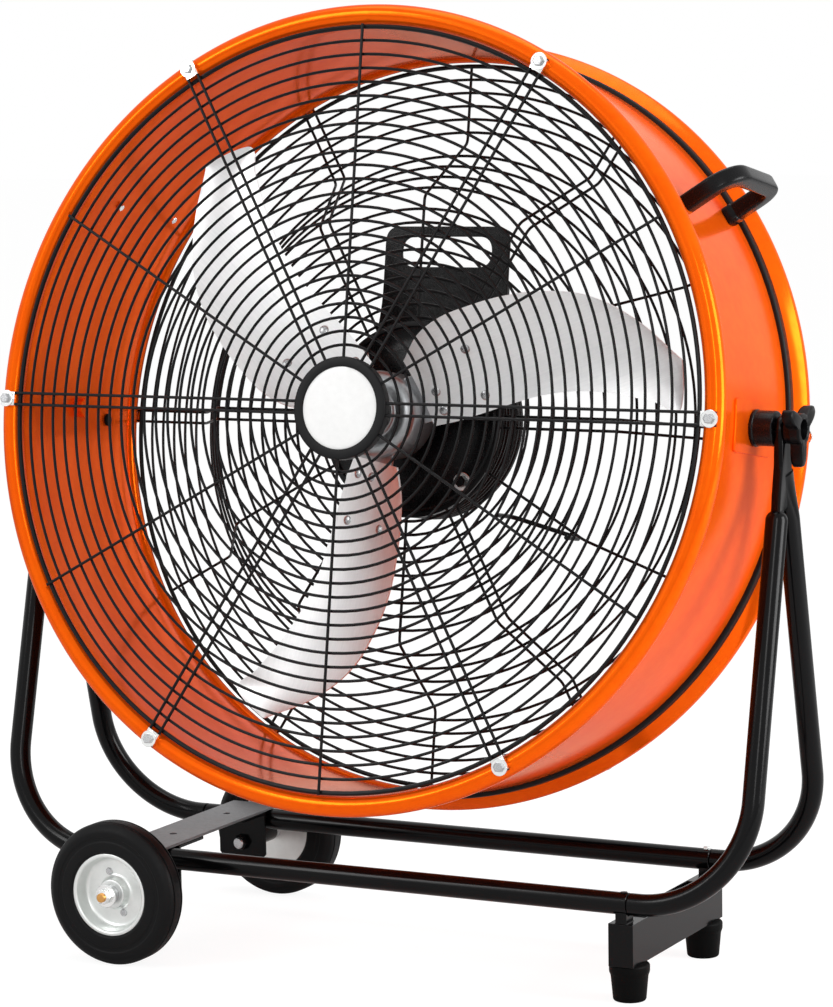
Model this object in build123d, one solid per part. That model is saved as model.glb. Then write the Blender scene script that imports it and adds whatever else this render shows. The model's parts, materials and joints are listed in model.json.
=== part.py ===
from build123d import *
import math
import os

os.makedirs("parts", exist_ok=True)

# Portable drum fan on a two-wheeled tilting stand. Millimetres, +Z up.
# The origin is on the floor, under the pivots that the drum tilts on. The drum blows towards -Y.
# The drum's own pieces are drawn with the drum level and its axis along Y through the origin, then
# tilted and lifted onto the pivots by place().

# ---------------- driving dimensions ----------------
# drum
TILT = 9.15            # how far the front looks up, degrees
BODY_R = 326.0         # outside of the sheet drum
SHEET = 2.0            # sheet thickness
RIM_OVER = 14.0        # how far the rolled rims stand out of the drum
BEAD = 18.0            # diameter of a rolled rim
BEAD_Y = 94.5          # rim centres in front of and behind the pivot
BAND_W = 10.5          # black trim band in front of the rear rim
BAND_T = 4.0
DRUM_SIDES = 40
# guards
WIRE = 2.6             # grille wire
RING_PITCH = 11.6      # spacing of the front rings
RING_EDGE = 20.0       # end rings, inside the rims' outside
RIM_WIRE = 4.0         # heavier end ring of each guard
PAIR = 10.0            # distance between the wires of a spoke pair
BADGE_R = 34.8         # blank centre plate
BADGE_RING = 8.4       # width of the ring around it
BADGE_T = 1.4
BEZEL_LIP = 1.8        # the ring in front of the spokes
RING_SIDES = [(300.0, 20), (220.0, 16), (140.0, 12), (100.0, 10), (0.0, 8)]   # sides of a ring, by its radius
END_SIDES = 20         # sides of the rings on the rear cone, the collar and the centre plate
REAR_STEP = 74.0       # from the drum to where the rear guard starts to step inwards
REAR_FLAT_R = 195.0    # where it is flat again
REAR_FLAT_Y = 27.0     # depth of the inner flat behind the pivot
REAR_PITCH = 11.8
CLIP_L, CLIP_W, CLIP_T = 16.0, 14.0, 2.0
CLIP_SCREW_R = 7.2     # washer of a clip screw
# motor
MOTOR_R = 85.0
MOTOR_L = 47.0         # body behind the guard
BOSS_R = 80.5          # register that the guard's inner ring fits around
BORE_R = 11.0          # hole for the shaft through the motor
CAP_R = 62.0
CAP_L = 14.0
MOTOR_SIDES = 24
BEARING_R, BEARING_L = 17.5, 11.0
MOTOR_BOLT_R = 74.0    # bolt circle
MOTOR_BOLT_HEAD = 8.0
# bracket and control box behind the motor
PLATE_T = 3.0
PLATE_TOP = 174.0      # above the drum axis
PLATE_TOP_W = 122.0
PLATE_LOW_W = 136.0
PLATE_LOW, PLATE_WAIST, PLATE_TAPER = -40.0, 62.0, 40.0     # foot and shoulders, from the drum axis
SLOT_L, SLOT_H, SLOT_Z = 88.0, 27.0, 151.5
BOX_W, BOX_H, BOX_D, BOX_Z = 92.0, 62.0, 36.0, 98.0
STEM_R = 3.0
# cord hook on the rear guard
HOOK_X, HOOK_Z, HOOK_ANGLE = 120.0, -88.0, -14.0
HOOK_L, HOOK_OUT, HOOK_WIRE = 72.0, 32.0, 2.0
# fan
SHAFT_R = 8.0
HUB_R, HUB_FRONT, HUB_BACK = 37.0, -50.0, 2.0
BLADE_T = 2.0
ARM_T = 3.0
ARM_GAP = 0.2
ARM_EDGE = 0.05        # share of the blade's width that an arm leaves free at the rear edge
BLADES = 3
BLADE_TURN = 20.0      # direction of the first blade's mid line
CAMBER = 0.06          # depth of a blade's curve over its width
BLADE_STEPS = 4        # flats across a blade
RIVET_R, RIVET_H, RIVET_GAP = 5.0, 2.4, 0.3
RIVETS = [(54.0, 0), (54.0, 1), (95.0, 0), (95.0, 2)]   # distance along the mid line, flat counted from the rear edge
# blade sections for a drum of BLADES_FOR inside: distance along the mid line, front edge across/depth, rear edge across/depth
BLADES_FOR = 324.0
DRAWN = [
    (40.0, 33.0, -47.0, -23.0, -20.0),
    (62.0, 47.0, -57.0, -26.0, -20.5),
    (85.0, 53.5, -60.0, -27.2, -21.0),
    (115.0, 55.2, -57.0, -28.4, -22.5),
    (147.0, 53.5, -52.8, -31.2, -24.0),
    (185.0, 44.6, -49.4, -41.0, -25.4),
    (213.0, 32.0, -45.8, -53.5, -26.8),
    (240.0, 9.0, -42.6, -69.0, -28.0),
    (262.0, -20.5, -40.0, -81.3, -29.1),
    (266.0, -27.5, -39.6, -75.0, -30.8),
    (271.0, -36.0, -39.0, -64.5, -33.5),
    (275.0, -42.5, -38.6, -53.5, -36.5),
    (277.0, -45.5, -38.4, -48.0, -37.9),
]
# handles
GRIP = 16.0            # across the flats of the grip
GRIP_OUT = 47.5        # grip centre line above the drum
GRIP_FRONT, GRIP_BACK = -37.0, 54.0
GRIP_BENDS = (26.0, 15.0)
GRIP_ANGLE = 33.6      # up from the pivot, around the drum
# pivots
STUD_R = 5.0
FIT = 0.05             # running clearance, on the radius
BORE_SIDES = 8         # flats that a bore bears on its shaft with
SNUG = 0.02            # clearance where nothing turns
GAP = 0.3              # clearance between faces that turn past each other
SADDLE_T = 2.0
SADDLE_L, SADDLE_H = 84.0, 44.0
SPACER_R = 15.6
HEAD_OFF, HEAD_T = 22.0, 8.0   # from the drum to a leg head, and its thickness
HEAD_EYE = 11.0
HEAD_DROP = 75.0       # from the tilt axis down to where the tubes meet the head
KNOB_L, KNOB_R = 15.0, 13.0
LOBE_OUT, LOBE_R, LOBE_T = 28.0, 6.5, 10.0
# stand
TUBE_R = 9.25
LEG_OFF = 3.8          # middle of the legs, outside the heads' inner faces
RAIL_Y = 89.5          # rails in front and behind
LEG_TOP_Y = 14.0       # the legs' upper ends, in front and behind
RAIL_Z = 82.6
BEND_R = 92.0          # corner bends of the legs
RAIL_SHORT = 7.8       # straight run between a leg's bend and the end of its rail
RAIL_CLEAR = 44.4      # height of the tilt axis above the rails, over the rims' radius
TUBE_SIDES = 10
JOIN = 2.2             # visible groove where they meet
# foot bar and feet
FOOT_Y = 79.7
FOOT_H, FOOT_R, FOOT_BASE_R, FOOT_LIP = 31.0, 17.0, 14.0, 6.0
BAR_W, BAR_L, BAR_H, BAR_T = 22.0, 196.0, 36.0, 2.0
NECK_W, NECK_L = 10.0, 30.0
# wheels
WHEEL_BACK, WHEEL_R, WHEEL_W = 45.0, 62.3, 28.0      # the first from the rails' ends
RIM_OUT, RIM_LIP, RIM_W, RIM_HUB = 36.0, 4.0, 25.0, 13.0
SHOULDER = 9.0
WHEEL_SIDES = 24
AXLE_R, AXLE_L, AXLE_END = 5.0, 340.0, 26.0      # the last from the axle's end to the middle of a wheel
BUSH_R = 8.0
HANGER_Y, HANGER_T, HANGER_LOW = 77.0, 3.0, 44.0
STRAP_W, STRAP_L, STRAP_T = 48.0, 202.0, 2.5
STRAP_HOLE_Y = 47.0

# ---------------- sizes that follow ----------------
RIM_R = BODY_R + RIM_OVER             # outside of the rolled rims
RIM_FACE = BEAD_Y + BEAD / 2          # flat front of a rim, in front of the pivot
RING_MAX = RIM_R - RING_EDGE          # end rings of both guards
REAR_BEND_R = BODY_R - REAR_STEP
PIVOT_H = RAIL_Z + RIM_R + RAIL_CLEAR     # height of the tilt axis
HEAD_IN = BODY_R + HEAD_OFF           # inner face of a leg head
HEAD_LOW = PIVOT_H - HEAD_DROP
LEG_X = HEAD_IN + LEG_OFF
RAIL_X = LEG_X - BEND_R - RAIL_SHORT  # where rail and leg tubes meet
FOOT_X = RAIL_X - NECK_W / 2
WHEEL_X = WHEEL_BACK - RAIL_X
WHEEL_Y = AXLE_L / 2 - AXLE_END
BEAD_R = RIM_R - BEAD / 2
DRUM_IN = BODY_R - SHEET
INNER_FLAT = DRUM_IN * math.cos(math.pi / DRUM_SIDES)      # nearest that the drum's inside comes to its axis
BLADE_FIT = DRUM_IN / BLADES_FOR
SECTIONS = [tuple(v * BLADE_FIT for v in row) for row in DRAWN]


# ---------------- helpers ----------------
def place(shape):
    """The drum's pieces, tilted about the pivot axis and lifted to its height."""
    return Pos(0, 0, PIVOT_H) * Rot(-TILT, 0, 0) * shape


def save(name, shapes):
    """Writes one node; a list of shapes becomes a group of separate solids."""
    shapes = list(shapes) if isinstance(shapes, (list, tuple)) else [shapes]
    solids = [s for shape in shapes for s in shape.solids()]
    export_step(solids[0] if len(solids) == 1 else Compound(children=solids), f"parts/{name}.step")


def around(shape, angle):
    """Turned about the drum axis by an angle, counted up from +X as seen from the front."""
    return Rot(0, -angle, 0) * shape


def disc(radius, y0, y1, sides=0, corners=True):
    """Round bar along Y; with sides, a regular prism that measures radius to its corners or its flats."""
    section = RegularPolygon(radius, sides, major_radius=corners) if sides else Circle(radius)
    return Pos(0, max(y0, y1), 0) * Rot(90, 0, 0) * extrude(section, abs(y1 - y0))


def pin_x(radius, x0, x1, sides=0, corners=True):
    section = RegularPolygon(radius, sides, major_radius=corners) if sides else Circle(radius)
    return Pos(min(x0, x1), 0, 0) * Rot(0, 90, 0) * extrude(section, abs(x1 - x0))


def block(x0, x1, y0, y1, z0, z1):
    return Pos((x0 + x1) / 2, (y0 + y1) / 2, (z0 + z1) / 2) * Box(abs(x1 - x0), abs(y1 - y0), abs(z1 - z0))


def lathe(points):
    """Solid of revolution about Y from (radius, y) points."""
    return revolve(make_face(Polyline(*points, close=True)), Axis.Y)


def skin(loops, closed=False, twisted=False):
    """Solid of flat faces between successive loops of corners; capped at both ends unless it closes on itself.
    Where the loops twist against each other, each four-sided face is split into two flat triangles."""
    count, faces = len(loops[0]), []
    for one, two in zip(loops, loops[1:] + loops[:1] if closed else loops[1:]):
        for k in range(count):
            m = (k + 1) % count
            flat = [[one[k], one[m], two[m]], [one[k], two[m], two[k]]] if twisted else [[one[k], one[m], two[m], two[k]]]
            faces += [Face(Wire.make_polygon(corners)) for corners in flat]
    if not closed:
        faces += [Face(Wire.make_polygon(list(loop))) for loop in (loops[0], loops[-1])]
    return Solid(Shell(faces))


def hoop(rows, sides=0):
    """Closed ring of flat faces about Y, through the (radius, y) corners of its section."""
    sides = round(sides or next(n for least, n in RING_SIDES if rows[0][0] > least))
    turn = [2 * math.pi * k / sides for k in range(sides)]
    return skin([[(r * math.cos(a), y, r * math.sin(a)) for a in turn] for r, y in rows], closed=True)


def wire_ring(radius, seat, way, wire=WIRE):
    """Grille ring of three-sided wire: flat against the spokes at y = seat, its ridge pointing along way."""
    return hoop([(radius + wire / 2, seat), (radius - wire / 2, seat), (radius, seat + way * wire)])


def bent_bar(corners, bends, radius, sides, steps):
    """Polygonal bar along straight runs in one plane, with its corners rounded to the bend radii."""
    corners = [Vector(*c) for c in corners]
    normal = (corners[1] - corners[0]).cross(corners[2] - corners[1]).normalized()
    stations = [(corners[0], (corners[1] - corners[0]).normalized())]
    for before, corner, after, bend in zip(corners, corners[1:], corners[2:], bends):
        u, v = (corner - before).normalized(), (after - corner).normalized()
        turn = math.acos(u.dot(v))
        inside = normal.cross(u)
        centre = corner - u * bend * math.tan(turn / 2) + inside * bend
        for k in range(steps + 1):
            a = turn * k / steps
            stations.append((centre - inside * bend * math.cos(a) + u * bend * math.sin(a),
                             u * math.cos(a) + inside * math.sin(a)))
    stations.append((corners[-1], (corners[-1] - corners[-2]).normalized()))
    corner_r = radius / math.cos(math.pi / sides)
    angles = [2 * math.pi * (k + 0.5) / sides for k in range(sides)]
    sections = []
    for point, ahead in stations:
        across = normal.cross(ahead)
        sections.append([point + normal * corner_r * math.sin(a) + across * corner_r * math.cos(a) for a in angles])
    return skin(sections)


def mirrored(shape):
    return mirror(shape, Plane.YZ)


# ---------------- drum ----------------
def rolled_rim(way):
    """Corners of a rolled rim's section from the inside of the drum outwards; flat to the front or back."""
    y, half = way * BEAD_Y, way * BEAD / 2
    return [(DRUM_IN, y), (BEAD_R - BEAD / 4, y + half), (BEAD_R + BEAD / 4, y + half), (RIM_R, y),
            (BEAD_R + BEAD / 4, y - half), (BODY_R, y - half)]


def drum_shell():
    shell = hoop(rolled_rim(-1) + rolled_rim(1)[::-1], DRUM_SIDES)
    for side in (-1, 1):
        shell -= pin_x(STUD_R + SNUG, side * (DRUM_IN - 4), side * (BODY_R + 4), BORE_SIDES, False)
    return shell


def band():
    edge = BEAD_Y - BEAD / 2
    low, high = BODY_R, BODY_R + BAND_T
    return hoop([(low, edge - BAND_W), (high, edge - BAND_W), (high, edge), (low, edge)], DRUM_SIDES)


def spoke_bars(path, offsets=(0.0,)):
    """Square wires that follow (radius, y) points in a radial plane, shifted sideways by each offset."""
    bars = []
    for shift in offsets:
        side_a = [(r, y - WIRE / 2) for r, y in path]
        side_b = [(r, y + WIRE / 2) for r, y in reversed(path)]
        flat = make_face(Polyline(*(side_a + side_b), close=True))
        bars.append(Pos(0, 0, shift - WIRE / 2) * extrude(flat, WIRE))
    return bars


def guard_spokes(pair_path, single_path):
    bars = []
    for k in range(6):
        bars += [around(b, 60 * k) for b in spoke_bars(pair_path, (-PAIR / 2, PAIR / 2))]
        bars += [around(b, 60 * k + 30) for b in spoke_bars(single_path)]
    return bars


def ring_plate(r_in, r_out, y0, y1, sides):
    return disc(r_out, y0, y1, sides) - disc(r_in, min(y0, y1) - 1, max(y0, y1) + 1, sides, False)


FRONT_Y = -(RIM_FACE + WIRE / 2)                 # middle of the front spokes, which lie on the rim
RINGS_FRONT_SEAT = FRONT_Y + WIRE / 2
BADGE_OUT = BADGE_R + BADGE_RING


def front_guard():
    pair = [(BADGE_OUT - 2, FRONT_Y), (BEAD_R + 5, FRONT_Y)]
    single = [(BADGE_OUT - 2, FRONT_Y), (RING_MAX + RIM_WIRE / 2, FRONT_Y)]
    bezel = disc(BADGE_OUT, FRONT_Y - WIRE / 2 - BEZEL_LIP, RINGS_FRONT_SEAT + 3, END_SIDES)
    bezel -= disc(BADGE_R, FRONT_Y - WIRE / 2 - 4, FRONT_Y - WIRE / 2, END_SIDES)
    return bezel.fuse(*guard_spokes(pair, single))


def front_rings():
    rings = [wire_ring(RING_MAX, RINGS_FRONT_SEAT, 1, RIM_WIRE)]
    radius = RING_MAX - RING_PITCH
    while radius > BADGE_OUT + WIRE:
        rings.append(wire_ring(radius, RINGS_FRONT_SEAT, 1))
        radius -= RING_PITCH
    return rings


def badge():
    back = FRONT_Y - WIRE / 2
    return disc(BADGE_R - 0.2, back - BADGE_T, back, END_SIDES)


def clip(face, way):
    """Folded tab over a spoke pair: on the rim's face, with a hole for its screw."""
    seat = face + way * WIRE
    tab = block(BEAD_R - CLIP_L + 8, BEAD_R + 8, seat, seat + way * CLIP_T, -CLIP_W / 2, CLIP_W / 2)
    return tab


def clip_screw(face, way):
    seat = face + way * (WIRE + CLIP_T)
    return Pos(BEAD_R, 0, 0) * disc(CLIP_SCREW_R, seat, seat + way * 4.5, 6)


REAR_Y = RIM_FACE + WIRE / 2
REAR_PAIR = [(BOSS_R + 2, REAR_FLAT_Y), (REAR_FLAT_R, REAR_FLAT_Y), (REAR_BEND_R, REAR_Y), (BEAD_R + 5, REAR_Y)]
REAR_SINGLE = REAR_PAIR[:3] + [(RING_MAX + RIM_WIRE / 2, REAR_Y)]


def rear_guard():
    collar = ring_plate(BOSS_R + 0.3, BOSS_R + 5, REAR_FLAT_Y - WIRE / 2, REAR_FLAT_Y + WIRE / 2, END_SIDES)
    return collar.fuse(*guard_spokes(REAR_PAIR, REAR_SINGLE))


def rear_rings():
    """Rings in front of the spokes on both flats, and inside the cone between them."""
    rings = [wire_ring(RING_MAX, REAR_Y - WIRE / 2, -1, RIM_WIRE)]
    radius = RING_MAX - REAR_PITCH
    while radius > REAR_BEND_R + WIRE:
        rings.append(wire_ring(radius, REAR_Y - WIRE / 2, -1))
        radius -= REAR_PITCH
    rise, run = REAR_Y - REAR_FLAT_Y, REAR_BEND_R - REAR_FLAT_R
    slant = math.hypot(rise, run)
    along, inward = (run / slant, rise / slant), (-rise / slant, run / slant)
    count = round(slant / (1.6 * REAR_PITCH))
    for k in range(1, count):
        foot = (REAR_FLAT_R + run * k / count, REAR_FLAT_Y + rise * k / count)
        seat = [f + 0.5 * WIRE * along[0] * n for f, n in zip(foot, inward)]     # on the spokes' inner side
        rings.append(hoop([(seat[0] + a * along[0] + b * inward[0], seat[1] + a * along[1] + b * inward[1])
                           for a, b in ((WIRE / 2, 0), (-WIRE / 2, 0), (0, WIRE))], END_SIDES))
    radius = REAR_FLAT_R - REAR_PITCH
    while radius > BOSS_R + 5 + WIRE:
        rings.append(wire_ring(radius, REAR_FLAT_Y - WIRE / 2, -1))
        radius -= REAR_PITCH
    return rings


# ---------------- motor ----------------
BOSS_FACE = REAR_FLAT_Y - WIRE / 2               # boss is flush with the guard's inner ring
BODY_FACE = REAR_FLAT_Y + WIRE / 2
MOTOR_BACK = BODY_FACE + MOTOR_L


def motor_housing():
    body = disc(MOTOR_R, BODY_FACE, MOTOR_BACK, MOTOR_SIDES) + disc(BOSS_R, BOSS_FACE, BODY_FACE, MOTOR_SIDES)
    body -= disc(BORE_R, BOSS_FACE - 1, MOTOR_BACK + 1, 16)
    body -= disc(BEARING_R, BOSS_FACE - 1, BOSS_FACE + BEARING_L, 16)
    body -= disc(BEARING_R, MOTOR_BACK - BEARING_L, MOTOR_BACK + 1, 16)
    return body


def bearing(y0):
    return disc(BEARING_R, y0, y0 + BEARING_L, 16) - disc(SHAFT_R + FIT, y0 - 1, y0 + BEARING_L + 1, BORE_SIDES, False)


def motor_bolts():
    bolts = []
    for k in range(4):
        bolts.append(around(Pos(MOTOR_BOLT_R, 0, 0) * disc(MOTOR_BOLT_HEAD, BOSS_FACE, BOSS_FACE - 6, 6), 45 + 90 * k))
    return bolts


PLATE_Y = MOTOR_BACK


def bracket_plate():
    """Sheet bracket on the motor's back: a hand slot at the top, and a flared foot around the motor."""
    top, low = PLATE_TOP_W / 2, PLATE_LOW_W / 2
    shoulder = PLATE_WAIST + PLATE_TAPER
    outline = Polyline((-low, PLATE_LOW), (low, PLATE_LOW), (low, PLATE_WAIST), (top, shoulder), (top, PLATE_TOP),
                       (-top, PLATE_TOP), (-top, shoulder), (-low, PLATE_WAIST), close=True)
    face = make_face(outline)
    face = chamfer(face.vertices().group_by(Axis.Y)[-1], 9)
    for x in (SLOT_H / 2 - SLOT_L / 2, SLOT_L / 2 - SLOT_H / 2):
        face -= Pos(x, SLOT_Z) * RegularPolygon(SLOT_H / 2, 12, major_radius=False)
    face -= Pos(0, SLOT_Z) * Rectangle(SLOT_L - SLOT_H, SLOT_H)
    face -= RegularPolygon(CAP_R + 0.5, 24, major_radius=False)
    return Pos(0, PLATE_Y + PLATE_T, 0) * Rot(90, 0, 0) * extrude(face, PLATE_T)


def motor_cap():
    return disc(CAP_R, MOTOR_BACK + 0.01, MOTOR_BACK + CAP_L, 24)


BOX_FRONT = PLATE_Y + PLATE_T


def control_box():
    box = block(-BOX_W / 2, BOX_W / 2, BOX_FRONT, BOX_FRONT + BOX_D, BOX_Z - BOX_H / 2, BOX_Z + BOX_H / 2)
    box = chamfer(box.edges().filter_by(Axis.Y), 4)
    return box


def speed_stem():
    return disc(STEM_R, BOX_FRONT + BOX_D, BOX_FRONT + BOX_D + 12)


def speed_knob():
    y0 = BOX_FRONT + BOX_D + GAP
    knob = disc(17, y0, y0 + 14, 16) + block(-3, 3, y0 + 14, y0 + 17, -15, 15)
    return knob - disc(STEM_R + FIT, y0 - 1, y0 + 12.4, BORE_SIDES, False)


def cord_gland():
    """Strain relief in the control box's underside; the free cord isn't part of the model."""
    z = BOX_Z - BOX_H / 2
    body = Pos(BOX_W / 4, BOX_FRONT + BOX_D * 0.62, z) * extrude(RegularPolygon(9, 6), -6)
    nose = Pos(BOX_W / 4, BOX_FRONT + BOX_D * 0.62, z - 6) * extrude(RegularPolygon(6.5, 8), -9)
    hole = Pos(BOX_W / 4, BOX_FRONT + BOX_D * 0.62, z - 15) * extrude(RegularPolygon(3.5, 8), 12)
    return body + nose - hole


def cord_hook():
    """Bent wire loop behind the guard's inner flat, that the cord winds on."""
    seat = REAR_FLAT_Y - WIRE / 2 + SNUG         # its feet stand on two of the guard's rings
    half = HOOK_L / 2 - HOOK_WIRE
    corners = [(-half, seat, 0), (-half, seat + HOOK_OUT, 0), (half, seat + HOOK_OUT, 0), (half, seat, 0)]
    loop = bent_bar(corners, (8, 8), HOOK_WIRE, 4, 3)
    return Pos(HOOK_X, 0, HOOK_Z) * around(loop, HOOK_ANGLE)


# ---------------- fan ----------------
def blade_strip(x, zf, yf, zr, yr):
    """Corners of the blade's cambered section at distance x: its front face, then its back face."""
    wide = math.hypot(zf - zr, yf - yr)
    nz, ny = -(yf - yr) / wide, (zf - zr) / wide
    if ny < 0:
        nz, ny = -nz, -ny

    def at(t, off):
        off += CAMBER * wide * (1 - (1 - 2 * t) ** 2)
        return (x, yr + (yf - yr) * t + ny * off, zr + (zf - zr) * t + nz * off)

    shares = [k / BLADE_STEPS for k in range(BLADE_STEPS + 1)]
    return [at(t, 0) for t in shares] + [at(t, BLADE_T) for t in shares[::-1]]


def blade():
    return skin([blade_strip(*row) for row in SECTIONS], twisted=True)


def arm_strip(x, zf, yf, zr, yr):
    """Corners of an arm's section: close behind the blade, over the middle part of its width."""
    wide = math.hypot(zf - zr, yf - yr)
    nz, ny = -(yf - yr) / wide, (zf - zr) / wide
    if ny < 0:
        nz, ny = -nz, -ny

    def at(t, off):
        return (x, yr + (yf - yr) * t + ny * off, zr + (zf - zr) * t + nz * off)

    shares = [ARM_EDGE] + [k / BLADE_STEPS for k in range(1, BLADE_STEPS)]
    seat = [ARM_GAP + BLADE_T + CAMBER * wide * (1 - (1 - 2 * t) ** 2) for t in shares]
    near = [at(t, h) for t, h in zip(shares, seat)]
    far = [at(t, h + ARM_T) for t, h in zip(shares, seat)]
    return near + far[::-1]


def arm():
    inner = (20.0,) + SECTIONS[0][1:]
    rows = [inner] + SECTIONS[:4]
    return skin([arm_strip(*row) for row in rows], twisted=True)


def on_blades(shape):
    return [around(shape, BLADE_TURN + 360 / BLADES * k) for k in range(BLADES)]


def fan_hub():
    core = disc(HUB_R, HUB_FRONT, HUB_BACK, MOTOR_SIDES)
    hub = core.fuse(*on_blades(arm()))
    return hub - disc(SHAFT_R + SNUG, HUB_FRONT - 1, HUB_BACK + 1, BORE_SIDES, False)


def fan_shaft():
    return disc(SHAFT_R, HUB_FRONT - 8, MOTOR_BACK - 0.5)


def hub_nut():
    y0 = HUB_FRONT
    return disc(13, y0, y0 - 7, 6) - disc(SHAFT_R + SNUG, y0 - 8, y0 + 1, BORE_SIDES, False)


def rivets():
    """Button heads in the middle of flats on the blades' front faces."""
    heads = []
    for x, flat in [(BLADE_FIT * x, round(flat)) for x, flat in RIVETS]:
        lo = max(row for row in SECTIONS if row[0] <= x)
        hi = min(row for row in SECTIONS if row[0] > x)
        row = [a + (b - a) * (x - lo[0]) / (hi[0] - lo[0]) for a, b in zip(lo, hi)]
        (_, y0, z0), (_, y1, z1) = blade_strip(*row)[flat:flat + 2]
        lean = math.degrees(math.atan2(y1 - y0, z1 - z0))
        head = Pos(x, (y0 + y1) / 2, (z0 + z1) / 2) * Rot(-lean, 0, 0) * disc(RIVET_R, -RIVET_GAP, -RIVET_H, 6)
        heads += on_blades(head)
    return heads


# ---------------- handles and pivots ----------------
def handle():
    out = BODY_R + GRIP_OUT
    corners = [(BODY_R, GRIP_FRONT, 0), (out, GRIP_FRONT, 0), (out, GRIP_BACK, 0), (BODY_R, GRIP_BACK, 0)]
    return bent_bar(corners, GRIP_BENDS, GRIP / 2, 8, 4)


def handle_screws():
    """Heads inside the drum."""
    heads = []
    for y in (GRIP_FRONT, GRIP_BACK):
        heads.append(Pos(0, y, 0) * pin_x(6.5, INNER_FLAT - 5, INNER_FLAT - GAP, 6))
    return heads


def both_handles(shapes):
    return [around(s, a) for s in shapes for a in (GRIP_ANGLE, 180 - GRIP_ANGLE)]


def saddle():
    low, high, end = BODY_R, BODY_R + SADDLE_T, SADDLE_L / 2
    ring = hoop([(low, -end), (high, -end), (high, end), (low, end)], DRUM_SIDES)
    piece = ring & block(0, BODY_R + 20, -SADDLE_L, SADDLE_L, -SADDLE_H / 2, SADDLE_H / 2)
    return piece - pin_x(STUD_R + SNUG, BODY_R - 10, BODY_R + 20, BORE_SIDES, False)


def spacer():
    start = BODY_R + SADDLE_T
    return pin_x(SPACER_R, start, HEAD_IN - GAP, 18) - pin_x(STUD_R + SNUG, start - 1, HEAD_IN, BORE_SIDES, False)


STUD_END = HEAD_IN + HEAD_T + GAP + KNOB_L - 5


def stud():
    shank = pin_x(STUD_R, INNER_FLAT - 1, STUD_END)
    head = pin_x(10.0, INNER_FLAT - 7, INNER_FLAT - GAP, 6)
    return shank + head


def knob():
    """Three-lobed clamping knob, with one lobe hanging down."""
    x0 = HEAD_IN + HEAD_T + GAP
    core = pin_x(KNOB_R, x0, x0 + KNOB_L, 12)
    x1 = x0 + KNOB_L - 0.5
    for angle in (-90, 30, 150):
        core += Rot(angle, 0, 0) * (block(x1 - LOBE_T, x1, 0, LOBE_OUT, 1 - LOBE_R, LOBE_R - 1)
                                    + Pos(0, LOBE_OUT, 0) * pin_x(LOBE_R, x1 - LOBE_T, x1, 8))
    core -= pin_x(STUD_R + FIT, x0 - 1, STUD_END + 0.5, BORE_SIDES, False)
    return Pos(0, 0, PIVOT_H) * core


# ---------------- stand ----------------
LEG_LEAN = (RAIL_Y - LEG_TOP_Y) / (HEAD_LOW - RAIL_Z)


def leg(side_y):
    """Bent tube: from the rail's end round the corner, then up and inwards to the leg head."""
    corners = [(RAIL_X, side_y * RAIL_Y, RAIL_Z), (LEG_X, side_y * RAIL_Y, RAIL_Z), (LEG_X, side_y * LEG_TOP_Y, HEAD_LOW)]
    return bent_bar(corners, (BEND_R,), TUBE_R, TUBE_SIDES, 6)


def rails():
    spread = math.degrees(math.pi / TUBE_SIDES)
    tube = Pos(-RAIL_X, 0, 0) * Rot(spread, 0, 0) * pin_x(TUBE_R, 0, 2 * RAIL_X, TUBE_SIDES, False)
    return [Pos(0, side * RAIL_Y, RAIL_Z) * tube for side in (-1, 1)]


def leg_head():
    """Flattened top of the legs: an eye for the stud that widens to the two tubes' ends."""
    slope, y_mid = math.atan(LEG_LEAN), LEG_TOP_Y
    c, s = math.cos(slope), math.sin(slope)
    out = (y_mid + TUBE_R * c, HEAD_LOW + TUBE_R * s)
    inn = (y_mid - TUBE_R * c, HEAD_LOW - TUBE_R * s)
    dist = math.hypot(out[0], out[1] - PIVOT_H)
    base = math.atan2(out[1] - PIVOT_H, out[0])
    tangent = base + math.acos(HEAD_EYE / dist)
    touch = (HEAD_EYE * math.cos(tangent), PIVOT_H + HEAD_EYE * math.sin(tangent))
    low_mid = (0.0, HEAD_LOW - TUBE_R * s + (y_mid - TUBE_R * c) * 0.9)
    right = [touch, out, inn]
    left = [(-y, z) for y, z in reversed(right)]
    poly = make_face(Polyline(*(right + [low_mid] + left), close=True))
    eye = Pos(0, PIVOT_H) * RegularPolygon(HEAD_EYE, 20)
    hole = Pos(0, PIVOT_H) * RegularPolygon(STUD_R + FIT, BORE_SIDES, major_radius=False)
    face = poly + eye - hole
    return Pos(HEAD_IN, 0, 0) * extrude(Plane.YZ * face, HEAD_T)


def foot_bar():
    z0, z1 = FOOT_H, FOOT_H + BAR_H
    bar = block(FOOT_X - BAR_W / 2, FOOT_X + BAR_W / 2, -BAR_L / 2, BAR_L / 2, z0, z1)
    bar -= block(FOOT_X - BAR_W / 2 + BAR_T, FOOT_X + BAR_W / 2 - BAR_T, -BAR_L / 2 + NECK_L, BAR_L / 2 - NECK_L,
                 z0 + BAR_T, z1 + 1)
    for side in (-1, 1):
        neck = block(FOOT_X - NECK_W / 2, FOOT_X + NECK_W / 2, side * RAIL_Y - NECK_L / 4, side * RAIL_Y + NECK_L / 4,
                     z1 - 1, RAIL_Z)
        bar += neck
        bar -= Pos(0, side * RAIL_Y, RAIL_Z) * Rot(180 / TUBE_SIDES, 0, 0) * pin_x(TUBE_R, 0, 2 * FOOT_X, TUBE_SIDES,
                                                                                  False)
    return bar


def rail_bolt(side):
    """Hexagon head on a rail, over the foot bar's neck."""
    return Pos(FOOT_X, side * RAIL_Y, RAIL_Z + TUBE_R) * extrude(RegularPolygon(3.8, 6), 2.2)


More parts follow.
